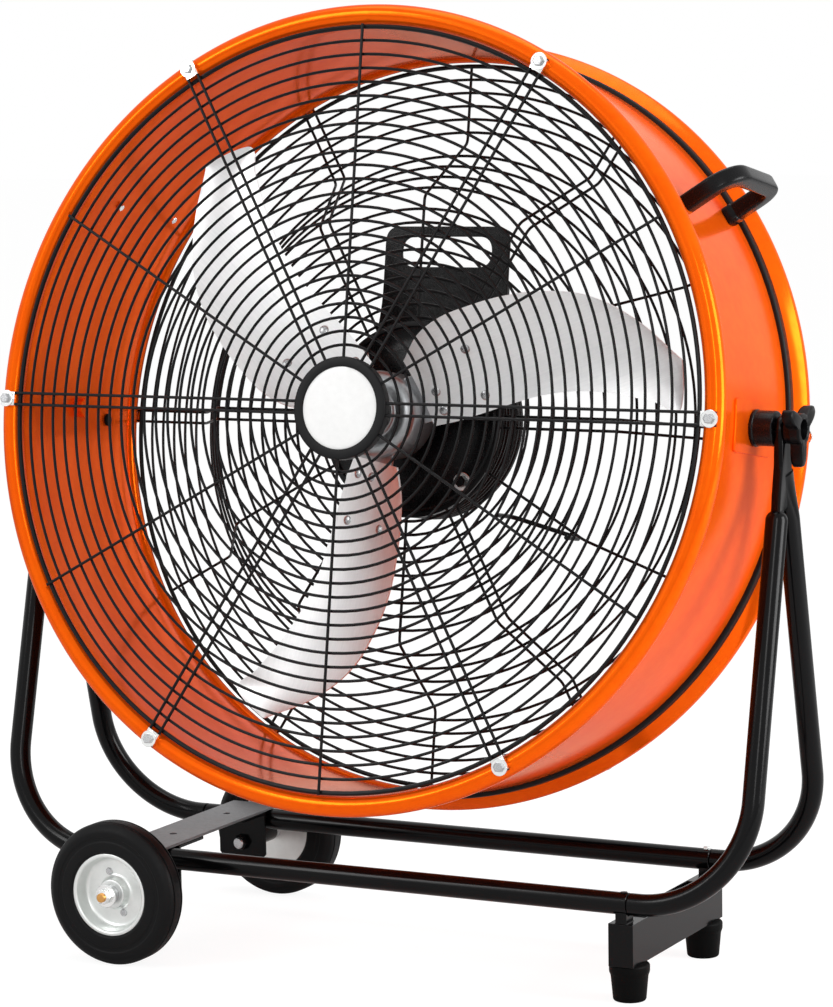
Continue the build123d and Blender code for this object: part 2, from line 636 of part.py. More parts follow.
def rubber_foot(side):
    levels = [(0, FOOT_BASE_R), (FOOT_H - FOOT_LIP - 2, FOOT_R - 1.5), (FOOT_H - FOOT_LIP, FOOT_R), (FOOT_H, FOOT_R)]
    turn = [math.pi * k / 8 for k in range(16)]
    return Pos(FOOT_X, side * FOOT_Y, 0) * skin([[(r * math.cos(a), r * math.sin(a), z) for a in turn] for z, r in levels])


def strap():
    top = RAIL_Z + TUBE_R
    bar = block(WHEEL_X - STRAP_W / 2, WHEEL_X + STRAP_W / 2, -STRAP_L / 2, STRAP_L / 2, top, top + STRAP_T)
    for side in (-1, 1):
        bar -= Pos(WHEEL_X, side * STRAP_HOLE_Y, top - 1) * extrude(RegularPolygon(3.5, 8), 10)
    return bar


def hanger(side):
    """Angle under the strap: its upright takes the axle, its tab is bolted to the strap."""
    top = RAIL_Z + TUBE_R
    up = block(WHEEL_X - STRAP_W / 2, WHEEL_X + STRAP_W / 2, side * (HANGER_Y - HANGER_T), side * HANGER_Y, HANGER_LOW, top)
    up = chamfer(up.edges().filter_by(Axis.Y).group_by(Axis.Z)[0], 8)
    tab = block(WHEEL_X - STRAP_W / 2, WHEEL_X + STRAP_W / 2, side * (STRAP_HOLE_Y - 12), side * (HANGER_Y - 1),
                top - HANGER_T, top)
    tab -= Pos(WHEEL_X, side * STRAP_HOLE_Y, top - 10) * extrude(RegularPolygon(3.5, 8), 20)
    return up + tab - at_axle(disc(AXLE_R + SNUG, side * (HANGER_Y - 10), side * (HANGER_Y + 10), BORE_SIDES, False))


def at_axle(shape):
    return Pos(WHEEL_X, 0, WHEEL_R) * shape


RIM_IN = WHEEL_Y - WHEEL_W / 2 - 4               # inner end of a wheel's bush
RIM_END = WHEEL_Y + WHEEL_W / 2 + 2              # outer end of a wheel's bush
NUT_T = 6.0
WASHER_T = 1.6


def axle(side):
    """Stub axle of one wheel, from inside its hanger outwards."""
    return at_axle(disc(AXLE_R, side * (HANGER_Y - HANGER_T - NUT_T - 2), side * AXLE_L / 2))


def axle_spacer(side):
    tube = disc(8.5, side * HANGER_Y, side * (RIM_IN - GAP), 10)
    return at_axle(tube - disc(AXLE_R + SNUG, side * (HANGER_Y - 1), side * RIM_IN, BORE_SIDES, False))


def axle_washer(side):
    y0 = side * (RIM_END + GAP)
    hole = disc(AXLE_R + SNUG, y0 - side, y0 + side * 4, BORE_SIDES, False)
    return at_axle(disc(10, y0, y0 + side * WASHER_T, 12) - hole)


def axle_nuts(side):
    """One nut outside the wheel and one inside the hanger."""
    nuts = []
    for y in (RIM_END + GAP + WASHER_T, HANGER_Y - HANGER_T - NUT_T):
        hole = disc(AXLE_R + SNUG, side * (y - 1), side * (y + NUT_T + 1), BORE_SIDES, False)
        nuts.append(at_axle(disc(8.5, side * y, side * (y + NUT_T), 6) - hole))
    return nuts


def tyre(side):
    half, flat = WHEEL_W / 2, WHEEL_W / 2 - SHOULDER / 2
    rows = [(RIM_OUT, -half), (WHEEL_R - SHOULDER, -half), (WHEEL_R, -flat), (WHEEL_R, flat), (WHEEL_R - SHOULDER, half),
            (RIM_OUT, half)]
    return at_axle(Pos(0, side * WHEEL_Y, 0) * hoop(rows, WHEEL_SIDES))


def wheel_rim(side):
    """Pressed rim, dished on its outer side around a hub boss."""
    half, bore = side * RIM_W / 2, (BUSH_R + SNUG) / math.cos(math.pi / WHEEL_SIDES)
    rows = [(RIM_OUT, -half), (RIM_OUT, half), (RIM_OUT - RIM_LIP, half), (RIM_OUT - RIM_LIP - 3, 0), (RIM_HUB, 0),
            (RIM_HUB, 0.7 * half), (bore, 0.7 * half), (bore, -half)]
    return at_axle(Pos(0, side * WHEEL_Y, 0) * hoop(rows, WHEEL_SIDES))


def bush(side):
    y0, y1 = side * RIM_IN, side * RIM_END
    return at_axle(disc(BUSH_R, y0, y1, 16) - disc(AXLE_R + FIT, y0 - side, y1 + side, BORE_SIDES, False))


# ---------------- write the nodes ----------------
save("front_legs", [leg(-1), mirrored(leg(-1))])
save("rear_legs", [leg(1), mirrored(leg(1))])
save("base_rails", rails())
save("leg_heads", [leg_head(), mirrored(leg_head())])
save("foot_bar", foot_bar())
save("rubber_feet", [rubber_foot(s) for s in (-1, 1)])
save("rail_bolts", [rail_bolt(s) for s in (-1, 1)])
save("wheel_strap", strap())
save("axle_hangers", [hanger(s) for s in (-1, 1)])
save("axle", [axle(s) for s in (-1, 1)])
save("axle_spacers", [axle_spacer(s) for s in (-1, 1)])
save("axle_washers", [axle_washer(s) for s in (-1, 1)])
save("axle_nuts", axle_nuts(-1) + axle_nuts(1))
for side, word in ((-1, "front"), (1, "rear")):
    save(f"{word}_wheel_tyre", tyre(side))
    save(f"{word}_wheel_rim", wheel_rim(side))
    save(f"{word}_wheel_bush", bush(side))

save("drum_shell", place(drum_shell()))
save("rear_band", place(band()))
save("front_guard_frame", place(front_guard()))
save("front_guard_rings", [place(r) for r in front_rings()])
save("centre_badge", place(badge()))
save("front_clips", [place(around(clip(-RIM_FACE, -1), 60 * k)) for k in range(6)])
save("front_clip_screws", [place(around(clip_screw(-RIM_FACE, -1), 60 * k)) for k in range(6)])
save("rear_guard_frame", place(rear_guard()))
save("rear_guard_rings", [place(r) for r in rear_rings()])
save("rear_clips", [place(around(clip(RIM_FACE, 1), 60 * k)) for k in range(6)])
save("rear_clip_screws", [place(around(clip_screw(RIM_FACE, 1), 60 * k)) for k in range(6)])
save("motor_housing", place(motor_housing()))
save("motor_rear_cap", place(motor_cap()))
save("motor_bearings", [place(bearing(y)) for y in (BOSS_FACE, MOTOR_BACK - BEARING_L)])
save("motor_bolts", [place(b) for b in motor_bolts()])
save("motor_bracket", place(bracket_plate()))
save("control_box", place(control_box()))
save("speed_switch_stem", place(Pos(0, 0, BOX_Z) * speed_stem()))
save("speed_knob", place(Pos(0, 0, BOX_Z) * speed_knob()))
save("cord_gland", place(cord_gland()))
save("cord_hook", place(cord_hook()))
save("carry_handles", [place(h) for h in both_handles([handle()])])
save("handle_screws", [place(h) for h in both_handles(handle_screws())])
save("pivot_saddles", [place(saddle()), place(mirrored(saddle()))])
save("pivot_spacers", [place(spacer()), place(mirrored(spacer()))])
save("pivot_studs", [place(stud()), place(mirrored(stud()))])
save("right_clamp_knob", knob())
save("left_clamp_knob", mirrored(knob()))

save("fan_shaft", place(fan_shaft()))
save("fan_hub", place(fan_hub()))
save("hub_nut", place(hub_nut()))
for name, one in zip("abc", on_blades(blade())):
    save(f"fan_blade_{name}", place(one))
save("blade_rivets", [place(r) for r in rivets()])
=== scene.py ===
# %% [markdown]
# # A drum fan on a tilting stand
# A sheet drum with two rolled rims hangs on two pivots in a bent tube stand. Three aluminium blades turn in it
# behind a wire guard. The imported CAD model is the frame: it gives every place and every size that has to be
# right. Each step here makes one piece as the real one is made, and lets it stand for its plain CAD solid.

# %% Load the frame
import json
import math

import bmesh
import bpy
import numpy as np
from mathutils import Matrix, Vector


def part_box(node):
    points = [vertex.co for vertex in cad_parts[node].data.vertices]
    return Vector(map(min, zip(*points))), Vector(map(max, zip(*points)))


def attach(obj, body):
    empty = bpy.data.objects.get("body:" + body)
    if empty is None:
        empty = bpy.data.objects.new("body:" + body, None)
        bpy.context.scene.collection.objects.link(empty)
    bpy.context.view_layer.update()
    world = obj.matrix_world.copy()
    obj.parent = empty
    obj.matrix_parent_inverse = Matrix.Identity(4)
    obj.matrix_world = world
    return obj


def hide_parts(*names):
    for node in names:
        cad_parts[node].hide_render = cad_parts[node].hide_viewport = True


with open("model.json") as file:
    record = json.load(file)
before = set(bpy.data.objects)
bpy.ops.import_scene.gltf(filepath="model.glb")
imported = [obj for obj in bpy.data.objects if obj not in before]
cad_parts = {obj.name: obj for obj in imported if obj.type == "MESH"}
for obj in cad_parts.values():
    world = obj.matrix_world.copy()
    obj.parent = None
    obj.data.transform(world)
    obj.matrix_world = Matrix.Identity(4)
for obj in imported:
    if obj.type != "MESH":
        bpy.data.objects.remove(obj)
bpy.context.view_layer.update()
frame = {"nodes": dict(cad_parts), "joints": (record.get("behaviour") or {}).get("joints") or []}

# %% [markdown]
# ## Sizes from the frame
# Lengths are in millimetres until a mesh is made. What the CAD model knows is read from it, so a piece can't
# drift away from the part that carries it. The drum is worked out lying level about the tilt axis, and then
# tilted and lifted as a whole, because rings and spokes are simple there.

# %% Places and sizes
MM = 0.001
places = {j["name"]: j for j in frame["joints"]}
PIVOT_H = places["drum_tilt"]["pos_m"][2] / MM
fan_axis = places["fan_spin"]["axis"]
TILT = math.atan2(-fan_axis[2], fan_axis[1])


def box(node):
    """Lowest and highest corner of a CAD node, in millimetres."""
    low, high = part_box(node)
    return np.array(low) / MM, np.array(high) / MM


RIM_R = box("drum_shell")[1][0]
BAND_T, BAND_W = 4.0, 10.5
BODY_R = box("rear_band")[1][0] - BAND_T
SHEET, BEAD, BEAD_Y = 2.0, 18.0, 94.5
BEAD_R, RIM_FACE = RIM_R - BEAD / 2, BEAD_Y + BEAD / 2
WIRE, RIM_WIRE, PITCH, PAIR = 2.6, 4.0, 11.6, 10.0
RING_MAX = RIM_R - 20
BADGE_R, BADGE_RING = 34.8, 8.4
SPOKE_Y = RIM_FACE + WIRE / 2
REAR_BEND_R, REAR_FLAT_R, REAR_FLAT_Y, REAR_PITCH = BODY_R - 74, 195.0, 27.0, 11.8
print("tilt", round(math.degrees(TILT), 2), "pivot", PIVOT_H, "rim", RIM_R, "drum", BODY_R)

# %% [markdown]
# ## Surfaces
# Almost everything here is a loop of points carried along something: a round wire along a circle, a tube round
# its bends, a lathe profile about an axis. One function joins such loops into a surface, and the others only
# work out the loops.


# %% Joining loops into a surface
def skin(loops, closed=False, caps=True):
    """Each point is joined to the next of its loop and to the same one of the next loop. closed joins the last
    loop to the first; caps closes both ends with a flat face."""
    count, size, _ = loops.shape
    i = np.arange(count if closed else count - 1)[:, None]
    j = np.arange(size)[None, :]
    i2, j2 = (i + 1) % count, (j + 1) % size
    faces = coords(i * size + j, i * size + j2, i2 * size + j2, i2 * size + j).reshape(-1, 4).tolist()
    if caps and not closed:
        faces += [list(range(size))[::-1], list(range((count - 1) * size, count * size))]
    return loops.reshape(-1, 3), faces


def unit(v):
    return v / np.linalg.norm(v, axis=-1, keepdims=True)


def coords(*columns):
    """Points from their coordinates, where a single value counts for all of them."""
    return np.stack(np.broadcast_arrays(*columns), -1)


def circle(radius, sides):
    """Points at radius times cosine and sine of equal steps of a full turn."""
    a = 2 * np.pi * np.arange(sides) / sides
    return radius * coords(np.cos(a), np.sin(a))


def rounded(corners, cuts, steps=4):
    """Closed outline whose corners are cut back along both sides and filled with a curve that leaves each side
    along it: (1-t)^2 start + 2t(1-t) corner + t^2 end."""
    p = np.asarray(corners, float)
    cuts = np.broadcast_to(np.asarray(cuts, float), (len(p),))[:, None]
    before, after = np.roll(p, 1, 0) - p, np.roll(p, -1, 0) - p
    room = 0.49 * np.minimum(np.linalg.norm(before, axis=1), np.linalg.norm(after, axis=1))[:, None]
    cut = np.minimum(cuts, room)
    start, end = p + unit(before) * cut, p + unit(after) * cut
    t = np.linspace(0, 1, steps + 1)[None, :, None]
    return ((1 - t) ** 2 * start[:, None] + 2 * t * (1 - t) * p[:, None] + t ** 2 * end[:, None]).reshape(-1, 2)


def oblong(half_wide, half_high, cuts, steps=4, middle=0.0):
    """Rounded rectangle about (0, middle)."""
    low, high = middle - half_high, middle + half_high
    return rounded([(-half_wide, low), (half_wide, low), (half_wide, high), (-half_wide, high)], cuts, steps)


def stacked(rows, axis=1):
    """Loops for skin: flat outlines, each with its height along an axis."""
    return np.stack([np.insert(outline, axis, height, axis=1) for outline, height in rows])


def turned(profile, sides=96):
    """Lathe: each (radius, y) of the profile goes round the Y axis. A profile that ends on the axis at both ends
    is closed by it, and any other joins its last point to its first."""
    profile = np.asarray(profile, float)
    closed = max(profile[0, 0], profile[-1, 0]) > 1e-6
    ring = circle(1.0, sides)
    loops = np.empty((len(profile), sides, 3))
    loops[..., 0] = profile[:, :1] * ring[:, 0]
    loops[..., 1] = profile[:, 1:]
    loops[..., 2] = profile[:, :1] * ring[:, 1]
    return skin(loops, closed, caps=False)


def sweep(path, normal, section, closed=False):
    """A section carried along a path that lies in one plane. Its first coordinate runs along the plane's normal
    and its second across the path, at right angles to both."""
    path, normal = np.asarray(path, float), np.asarray(normal, float)
    ahead = np.roll(path, -1, 0) - np.roll(path, 1, 0) if closed else np.gradient(path, axis=0)
    across = np.cross(normal, unit(ahead))
    section = np.broadcast_to(section, (len(path),) + np.shape(section)[-2:])
    loops = path[:, None] + section[..., :1] * normal + section[..., 1:] * across[:, None]
    return skin(loops, closed)


def bent(corners, radii, step=3.0):
    """Straight runs whose corners are rounded to true arcs of the given radii."""
    corners = np.asarray(corners, float)
    points = [corners[:1]]
    for before, corner, after, radius in zip(corners, corners[1:], corners[2:], radii):
        u, v = unit(corner - before), unit(after - corner)
        turn = math.acos(u @ v)
        inside = unit(v - u * (u @ v))
        a = np.linspace(0, turn, max(5, int(turn * radius / step)))[:, None]
        points.append(corner - u * radius * math.tan(turn / 2) + u * radius * np.sin(a)
                      + inside * radius * (1 - np.cos(a)))
    return np.concatenate(points + [corners[-1:]])


print("a test ring has", len(skin(np.zeros((12, 8, 3)), closed=True)[1]), "faces")


# %% Moving surfaces about
def moved(surface, x=0.0, y=0.0, z=0.0):
    return surface[0] + np.array([x, y, z]), surface[1]


def around(surface, angle):
    """Turned about the drum axis, counted up from +X as seen from the front."""
    c, s = math.cos(math.radians(angle)), math.sin(math.radians(angle))
    v = surface[0]
    return coords(v[:, 0] * c - v[:, 2] * s, v[:, 1], v[:, 0] * s + v[:, 2] * c), surface[1]


def flipped(surface, axis):
    """Mirrored along one axis; normals are recalculated when the mesh is made."""
    v = surface[0].copy()
    v[:, axis] *= -1
    return v, surface[1]


def both(surfaces, axis=0):
    """Surfaces and their mirror images along an axis."""
    return surfaces + [flipped(s, axis) for s in surfaces]


def along_x(surface):
    """What was made about Y, laid along X."""
    v = surface[0]
    return coords(v[:, 1], v[:, 2], v[:, 0]), surface[1]


def along_z(surface):
    v = surface[0]
    return coords(v[:, 0], v[:, 2], v[:, 1]), surface[1]


def in_drum(surfaces):
    """The drum's tilt about the pivot axis, then the lift to its height: y cos + z sin, z cos - y sin."""
    c, s = math.cos(TILT), math.sin(TILT)
    return [(coords(v[:, 0], v[:, 1] * c + v[:, 2] * s, v[:, 2] * c - v[:, 1] * s + PIVOT_H), f)
            for v, f in surfaces]


six = range(0, 360, 60)
print("six places", list(six))

# %% [markdown]
# ## Finishes
# Each finish starts from what the real surface is. Colours are written as sRGB hex, turned to linear in one
# place. One function adds a node with its settings and links; patterns are scaled in millimetres on Object
# coordinates.


# %% Colour and node helpers
def linear(hexcode):
    """sRGB hex to linear light: c / 12.92 below 0.04045, else ((c + 0.055) / 1.055) ^ 2.4."""
    c = np.array([int(hexcode[i:i + 2], 16) for i in (1, 3, 5)]) / 255
    c = np.where(c <= 0.04045, c / 12.92, ((c + 0.055) / 1.055) ** 2.4)
    return (*c.tolist(), 1.0)


def add(tree, kind, links=None, **settings):
    """One node. Settings name its properties or its input sockets; links map a socket to another's output."""
    node = tree.nodes.new(kind)
    for name, value in settings.items():
        if hasattr(node, name):
            setattr(node, name, value)
        else:
            node.inputs[name.replace("_", " ")].default_value = value
    for name, output in (links or {}).items():
        tree.links.new(output, node.inputs[name])
    return node


def cleared(owner):
    """The node tree of a material or world, switched on and empty."""
    owner.use_nodes = True
    owner.node_tree.nodes.clear()
    return owner.node_tree


def finish(name, colours, rough, metallic=0.0, grain=2.0, stretch=(1, 1, 1), bump=0.05, turn=0.0, detail=3.0,
           **shader):
    """Principled surface whose colour wanders between two hex values, and whose roughness and height follow the
    same grain. grain is its size in millimetres; stretch lengthens it along an axis, turn leans it about Y."""
    material = bpy.data.materials.new(name)
    tree = cleared(material)
    where = add(tree, "ShaderNodeTexCoord")
    place = add(tree, "ShaderNodeMapping", {"Vector": where.outputs["Object"]})
    place.vector_type = "TEXTURE"
    place.inputs["Rotation"].default_value = (0, turn, 0)
    place.inputs["Scale"].default_value = [grain * MM * s for s in stretch]
    noise = add(tree, "ShaderNodeTexNoise", {"Vector": place.outputs["Vector"]}, Scale=1.0, Detail=detail,
                Roughness=0.6)
    broad = add(tree, "ShaderNodeTexNoise", {"Vector": where.outputs["Object"]}, Scale=1 / (60 * MM), Detail=2.0)
    both = add(tree, "ShaderNodeMath", {0: noise.outputs["Fac"], 1: broad.outputs["Fac"]}, operation="ADD")
    ramp = add(tree, "ShaderNodeMapRange", {"Value": both.outputs["Value"]}, From_Min=0.7, From_Max=1.3)
    mix = add(tree, "ShaderNodeMix", {"Factor": ramp.outputs["Result"]}, data_type="RGBA")
    mix.inputs[6].default_value, mix.inputs[7].default_value = map(linear, colours)     # the colour sockets
    rub = add(tree, "ShaderNodeMapRange", {"Value": noise.outputs["Fac"]}, From_Min=0.3, From_Max=0.7,
              To_Min=rough[0], To_Max=rough[1])
    height = add(tree, "ShaderNodeBump", {"Height": noise.outputs["Fac"]}, Strength=1.0, Distance=bump * MM)
    surface = add(tree, "ShaderNodeBsdfPrincipled", {"Base Color": mix.outputs[2], "Roughness": rub.outputs["Result"],
                                                      "Normal": height.outputs["Normal"]}, Metallic=metallic, **shader)
    add(tree, "ShaderNodeOutputMaterial", {"Surface": surface.outputs["BSDF"]})
    return material


print("orange in linear light", [round(c, 3) for c in linear("#F6620B")])

# %% [markdown]
# The drum is sheet steel in baked gloss enamel. What the eye takes from it is a strong clear colour with sharp
# reflections on top. So it is part metallic, with a weak warm specular and a very low, wide bump.

# %% Gloss enamel, powder coat and plastics
ORANGE = finish("baked_orange_enamel", ("#F6620B", "#F1580A"), (0.14, 0.18), 0.4, grain=9.0, bump=0.012,
                Specular_IOR_Level=0.16, Specular_Tint=(1.0, 0.4, 0.05, 1.0))   # strong colour, crisp warm lines
BLACK = finish("black_powder_coat", ("#040405", "#080809"), (0.15, 0.21), grain=1.6, bump=0.012,
               Specular_IOR_Level=0.14)      # soft sheen along the tubes, fine pebble
WIRE_BLACK = finish("black_dipped_wire", ("#060607", "#0B0B0D"), (0.32, 0.45), grain=3.0, bump=0.03,
                    Specular_IOR_Level=0.18)   # thick dip coat
GROOVE_SHADE = finish("painted_groove_shade_black", ("#070707", "#0C0C0D"), (0.42, 0.55), grain=2.4, bump=0.04,
              Specular_IOR_Level=0.2)   # dull black, painted shade of the groove in front of the rear bead
MOULDED = finish("moulded_black_nylon", ("#060607", "#0B0B0D"), (0.24, 0.32), grain=1.1, bump=0.03,
                 Specular_IOR_Level=0.16)   # fine spark grain
KNOB = finish("black_moulded_phenolic", ("#050506", "#09090B"), (0.26, 0.36), grain=1.4, bump=0.03,
              Specular_IOR_Level=0.12)   # dense moulding, low sheen
CASE = finish("black_abs_case", ("#0A0A0B", "#101011"), (0.42, 0.52), grain=0.9, bump=0.06,
              Specular_IOR_Level=0.2)   # leather-fine grain
DIAL = finish("grey_abs_dial", ("#8E9092", "#A2A4A6"), (0.4, 0.5), grain=1.2, bump=0.05)
BADGE = finish("white_painted_plate", ("#FBFBFA", "#F4F4F3"), (0.3, 0.36), grain=6.0, bump=0.02, Coat_Weight=0.3)
print(len(bpy.data.materials), "finishes so far")

# %% [markdown]
# The blades are raw rolled aluminium: dull, with streaks along the roll, brighter where hands and air have
# rubbed them. Zinc plate is bright and nearly even, brass warm and worn, and rubber has no shine but a bloom.

# %% Metals and rubber
BLADE_TURN = 20.0
BLADES = [finish(f"rolled_aluminium_{n}", ("#F2F3F4", "#FFFFFF"), (0.32, 0.42), 0.75, grain=1.3, stretch=(45, 3, 1),
                 bump=0.012, turn=-math.radians(BLADE_TURN + 120 * k), detail=5.0)
          for k, n in enumerate("abc")]                     # streaks along each blade, soft wide reflections
CAST = finish("die_cast_aluminium", ("#A2A4A6", "#B8BABC"), (0.3, 0.42), 1.0, grain=2.2, bump=0.05)   # grainy grey
ZINC = finish("bright_zinc_plate", ("#E2E4E4", "#F1F2F0"), (0.16, 0.22), 1.0, grain=14.0, bump=0.008)   # bright, even
PRESSED = finish("pressed_zinc_disc", ("#DADDDB", "#EBEDEB"), (0.32, 0.4), 0.85, grain=14.0, bump=0.004)   # satin, even
STEEL = finish("turned_bright_steel", ("#A9AAAC", "#C6C7C8"), (0.22, 0.34), 1.0, grain=0.8, bump=0.03)
BRASS = finish("worn_brass", ("#C08A4A", "#DDA866"), (0.26, 0.4), 1.0, grain=2.5, bump=0.04)
RUBBER = finish("moulded_rubber", ("#020202", "#050505"), (0.45, 0.6), grain=1.8, bump=0.06,
                Specular_IOR_Level=0.07)
TYRE = finish("solid_rubber_tyre", ("#060607", "#0B0B0C"), (0.42, 0.56), grain=2.6, bump=0.05,
              Specular_IOR_Level=0.14)   # bloom on black rubber
STRAP = finish("mill_scale_steel", ("#606163", "#727375"), (0.36, 0.5), 0.6, grain=3.0, bump=0.05)   # grey flat bar
print(len(bpy.data.materials), "finishes in all")

# %% [markdown]
# ## Making a piece
# A piece is one mesh from one or more surfaces. Its doubles are merged, so seams and poles close, its normals
# are turned outwards, and edges over 35 degrees stay sharp. It rides on a CAD body and stands for CAD nodes.


# %% From surfaces to a piece
WITH_DRUM = ("drum", "fan", "speed_dial")


def piece(name, body, surfaces, material, stands_for=(), edge=0.0):
    """One mesh that rides on a body. Pieces of the drum, the fan and the dial are tilted with the drum."""
    if body in WITH_DRUM:
        surfaces = in_drum(surfaces)
    start, faces = 0, []
    for verts, own in surfaces:
        faces += [[i + start for i in face] for face in own]
        start += len(verts)
    mesh = bpy.data.meshes.new(name)
    mesh.from_pydata((np.concatenate([v for v, _ in surfaces]) * MM).tolist(), [], faces)
    made = bmesh.new()
    made.from_mesh(mesh)
    bmesh.ops.remove_doubles(made, verts=made.verts, dist=1e-6)
    bmesh.ops.recalc_face_normals(made, faces=made.faces)
    made.to_mesh(mesh)
    made.free()
    mesh.polygons.foreach_set("use_smooth", np.ones(len(mesh.polygons), bool))
    mesh.set_sharp_from_angle(angle=math.radians(35))
    mesh.materials.append(material)
    obj = bpy.data.objects.new(name, mesh)
    bpy.context.scene.collection.objects.link(obj)
    if edge:
        soften(obj, edge)
    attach(obj, body)
    if stands_for:
        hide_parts(*stands_for)
    low, high = mesh_box(obj)
    print(f"{name}: {len(mesh.polygons)} faces, {low} to {high} mm")
    return obj


def mesh_box(obj):
    co = np.empty(len(obj.data.vertices) * 3, np.float32)
    obj.data.vertices.foreach_get("co", co)
    co = co.reshape(-1, 3) / MM
    return co.min(0).round(1).tolist(), co.max(0).round(1).tolist()


def soften(obj, width, steps=3):
    """Rounds edges over 30 degrees by a real width in millimetres."""
    bevel = obj.modifiers.new("rounded_edges", "BEVEL")
    bevel.width, bevel.segments, bevel.limit_method = width * MM, steps, "ANGLE"
    bevel.angle_limit, bevel.harden_normals = math.radians(30), True


def dress(node, material, edge=0.0):
    """A CAD node whose shape is right keeps it, and gets a finish and, with edge, rounded edges."""
    obj = frame["nodes"][node]
    obj.data.materials.clear()
    obj.data.materials.append(material)
    if edge:
        weld = obj.modifiers.new("weld", "WELD")
        weld.merge_threshold = 0.01 * MM
        soften(obj, edge, 2)
    print(f"{node}: {material.name}")


# %% [markdown]
# ## Fasteners
# Hexagon heads have a chamfered crown and sit on a flat washer. They are lathe profiles too: a lathe with six
# sides makes a hexagon.


# %% Bolt heads and washers
def hexagon(across, height, crown=0.18):
    """Hexagon prism about Y on y = 0 to height, its crown cut back towards the top."""
    r = across / math.sqrt(3)
    return turned([(0, 0), (r, 0), (r, height * (1 - crown)), (r * 0.86, height), (0, height)], 6)


def washer(outer, inner, height, sides=48):
    lip = 0.25 * height
    return turned([(inner, 0), (outer - lip, 0), (outer, lip), (outer, height - lip), (outer - lip, height),
                   (inner, height)], sides)


def bolt(seat, way, across=8.0, head=3.2, plate=6.0, thick=1.1):
    """Washer and hexagon head from a seat at y, pointing along way."""
    parts = [washer(plate, 2.0, thick), moved(hexagon(across, head), y=thick)]
    parts = parts if way > 0 else [flipped(p, 1) for p in parts]
    return [moved(p, y=seat) for p in parts]


print("bolt faces", sum(len(f) for _, f in bolt(0, 1)))

# %% [markdown]
# ## Drum
# The drum is rolled from one sheet, and its two ends are curled outwards into round beads that stiffen it.
# A lathe profile does it: down the inside, round one bead, along the outside and round the other. The bead is
# drawn as most of a circle that flows out of the sheet.


# %% Drum sheet with rolled rims
def bead(way):
    """Circle round the bead's centre from the inner sheet, over the face, to the outer sheet, all but a notch."""
    a = np.radians(np.linspace(-141, 116, 40))
    r = BEAD / 2 - 0.12
    return coords(BEAD_R + r * np.sin(a), way * (BEAD_Y + r * np.cos(a)))


inner, front, back = BODY_R - SHEET, bead(-1), bead(1)
flat = np.linspace(-BEAD_Y + 14, BEAD_Y - 14, 14)
drum_profile = np.concatenate([
    front, coords(BODY_R, flat), back[::-1], coords(inner, flat[::-1])])
piece("drum_sheet", "drum", [turned(drum_profile, 240)], ORANGE, ["drum_shell"])

# %% [markdown]
# A black band runs round the drum in front of the rear bead. Its black is painted shade: it stands in for the shaded
# groove there. It is a thin band with rounded shoulders.

# %% Band of painted groove shade
band_y = BEAD_Y - BEAD / 2
shade_profile = rounded([(BODY_R - 0.4, band_y - BAND_W), (BODY_R + BAND_T, band_y - BAND_W), (BODY_R + BAND_T, band_y),
                 (BODY_R - 0.4, band_y)], [0.1, 2.6, 2.2, 0.1])
piece("painted_shade_band", "drum", [turned(shade_profile, 240)], GROOVE_SHADE, ["rear_band"])


# %% [markdown]
# ## Front guard
# Round wire rings are spot-welded to the back of straight spokes: six pairs that end on the rim under clips, and
# six single ones between them that end on the last, heavier ring. Rings and spokes touch but don't sink into
# each other.


# %% Wires
def ring(radius, y, wire=WIRE, sides=8):
    """Round wire round a circle about Y."""
    stations = int(np.clip(radius * 0.6, 60, 180))
    c = circle(radius, stations)
    path = coords(c[:, 0], y, c[:, 1])
    return sweep(path, (0, 1, 0), circle(wire / 2, sides), closed=True)


def spoke(corners, radii=(), shift=0.0, wire=WIRE):
    """Round wire through (radius, y) corners in a plane through the drum axis, moved sideways by shift."""
    path = bent([(r, y, shift) for r, y in corners], radii) if radii else np.array([(r, y, shift) for r, y in corners])
    return sweep(path, (0, 0, 1), circle(wire / 2, 10))


front_radii = np.arange(RING_MAX - PITCH, BADGE_R + BADGE_RING + WIRE, -PITCH)
ring_y = -SPOKE_Y + WIRE
front_rings = [ring(r, ring_y) for r in front_radii] + [ring(RING_MAX, ring_y + (RIM_WIRE - WIRE) / 2, RIM_WIRE)]
piece("front_rings", "drum", front_rings, WIRE_BLACK, ["front_guard_rings"])

hub_end = BADGE_R + BADGE_RING - 2
pair_ends, single_ends = BEAD_R + 5, RING_MAX + 2


def spoke_set(path, y, bends=()):
    """Six pairs of spokes that end on the rim at y, and six single ones between them that end on the last ring."""
    pairs = [around(spoke(path + [(pair_ends, y)], bends, s), a) for a in six for s in (-PAIR / 2, PAIR / 2)]
    return pairs + [around(spoke(path + [(single_ends, y)], bends), a + 30) for a in six]


spokes = spoke_set([(hub_end, -SPOKE_Y)], -SPOKE_Y)
print(len(front_radii) + 1, "rings and", len(spokes), "spokes")

# %% [markdown]
# The spokes end under a black pressed bezel that holds a plain white plate. Both are lathe shapes with soft
# edges; the plate is very slightly domed and stays blank.

# %% Bezel and blank plate
bezel_face = -SPOKE_Y - WIRE / 2
bezel = turned(rounded([(BADGE_R, bezel_face), (BADGE_R, bezel_face - 1.8), (BADGE_R + BADGE_RING, bezel_face - 1.8),
                        (BADGE_R + BADGE_RING, ring_y + 3), (0.1, ring_y + 3), (0.1, bezel_face)],
                       [0.3, 0.6, 1.6, 0.5, 0.01, 0.01]), 120)
piece("front_spokes", "drum", spokes + [bezel], WIRE_BLACK, ["front_guard_frame"])
r = np.linspace(0, BADGE_R - 1.2, 12)
dome = coords(r, bezel_face - 1.35 + 0.3 * (r / BADGE_R) ** 2)
plate = np.concatenate([dome, [(BADGE_R - 0.2, bezel_face - 0.7), (BADGE_R - 0.2, bezel_face), (0, bezel_face)]])
piece("blank_badge", "drum", [turned(plate, 120)], BADGE, ["centre_badge"])

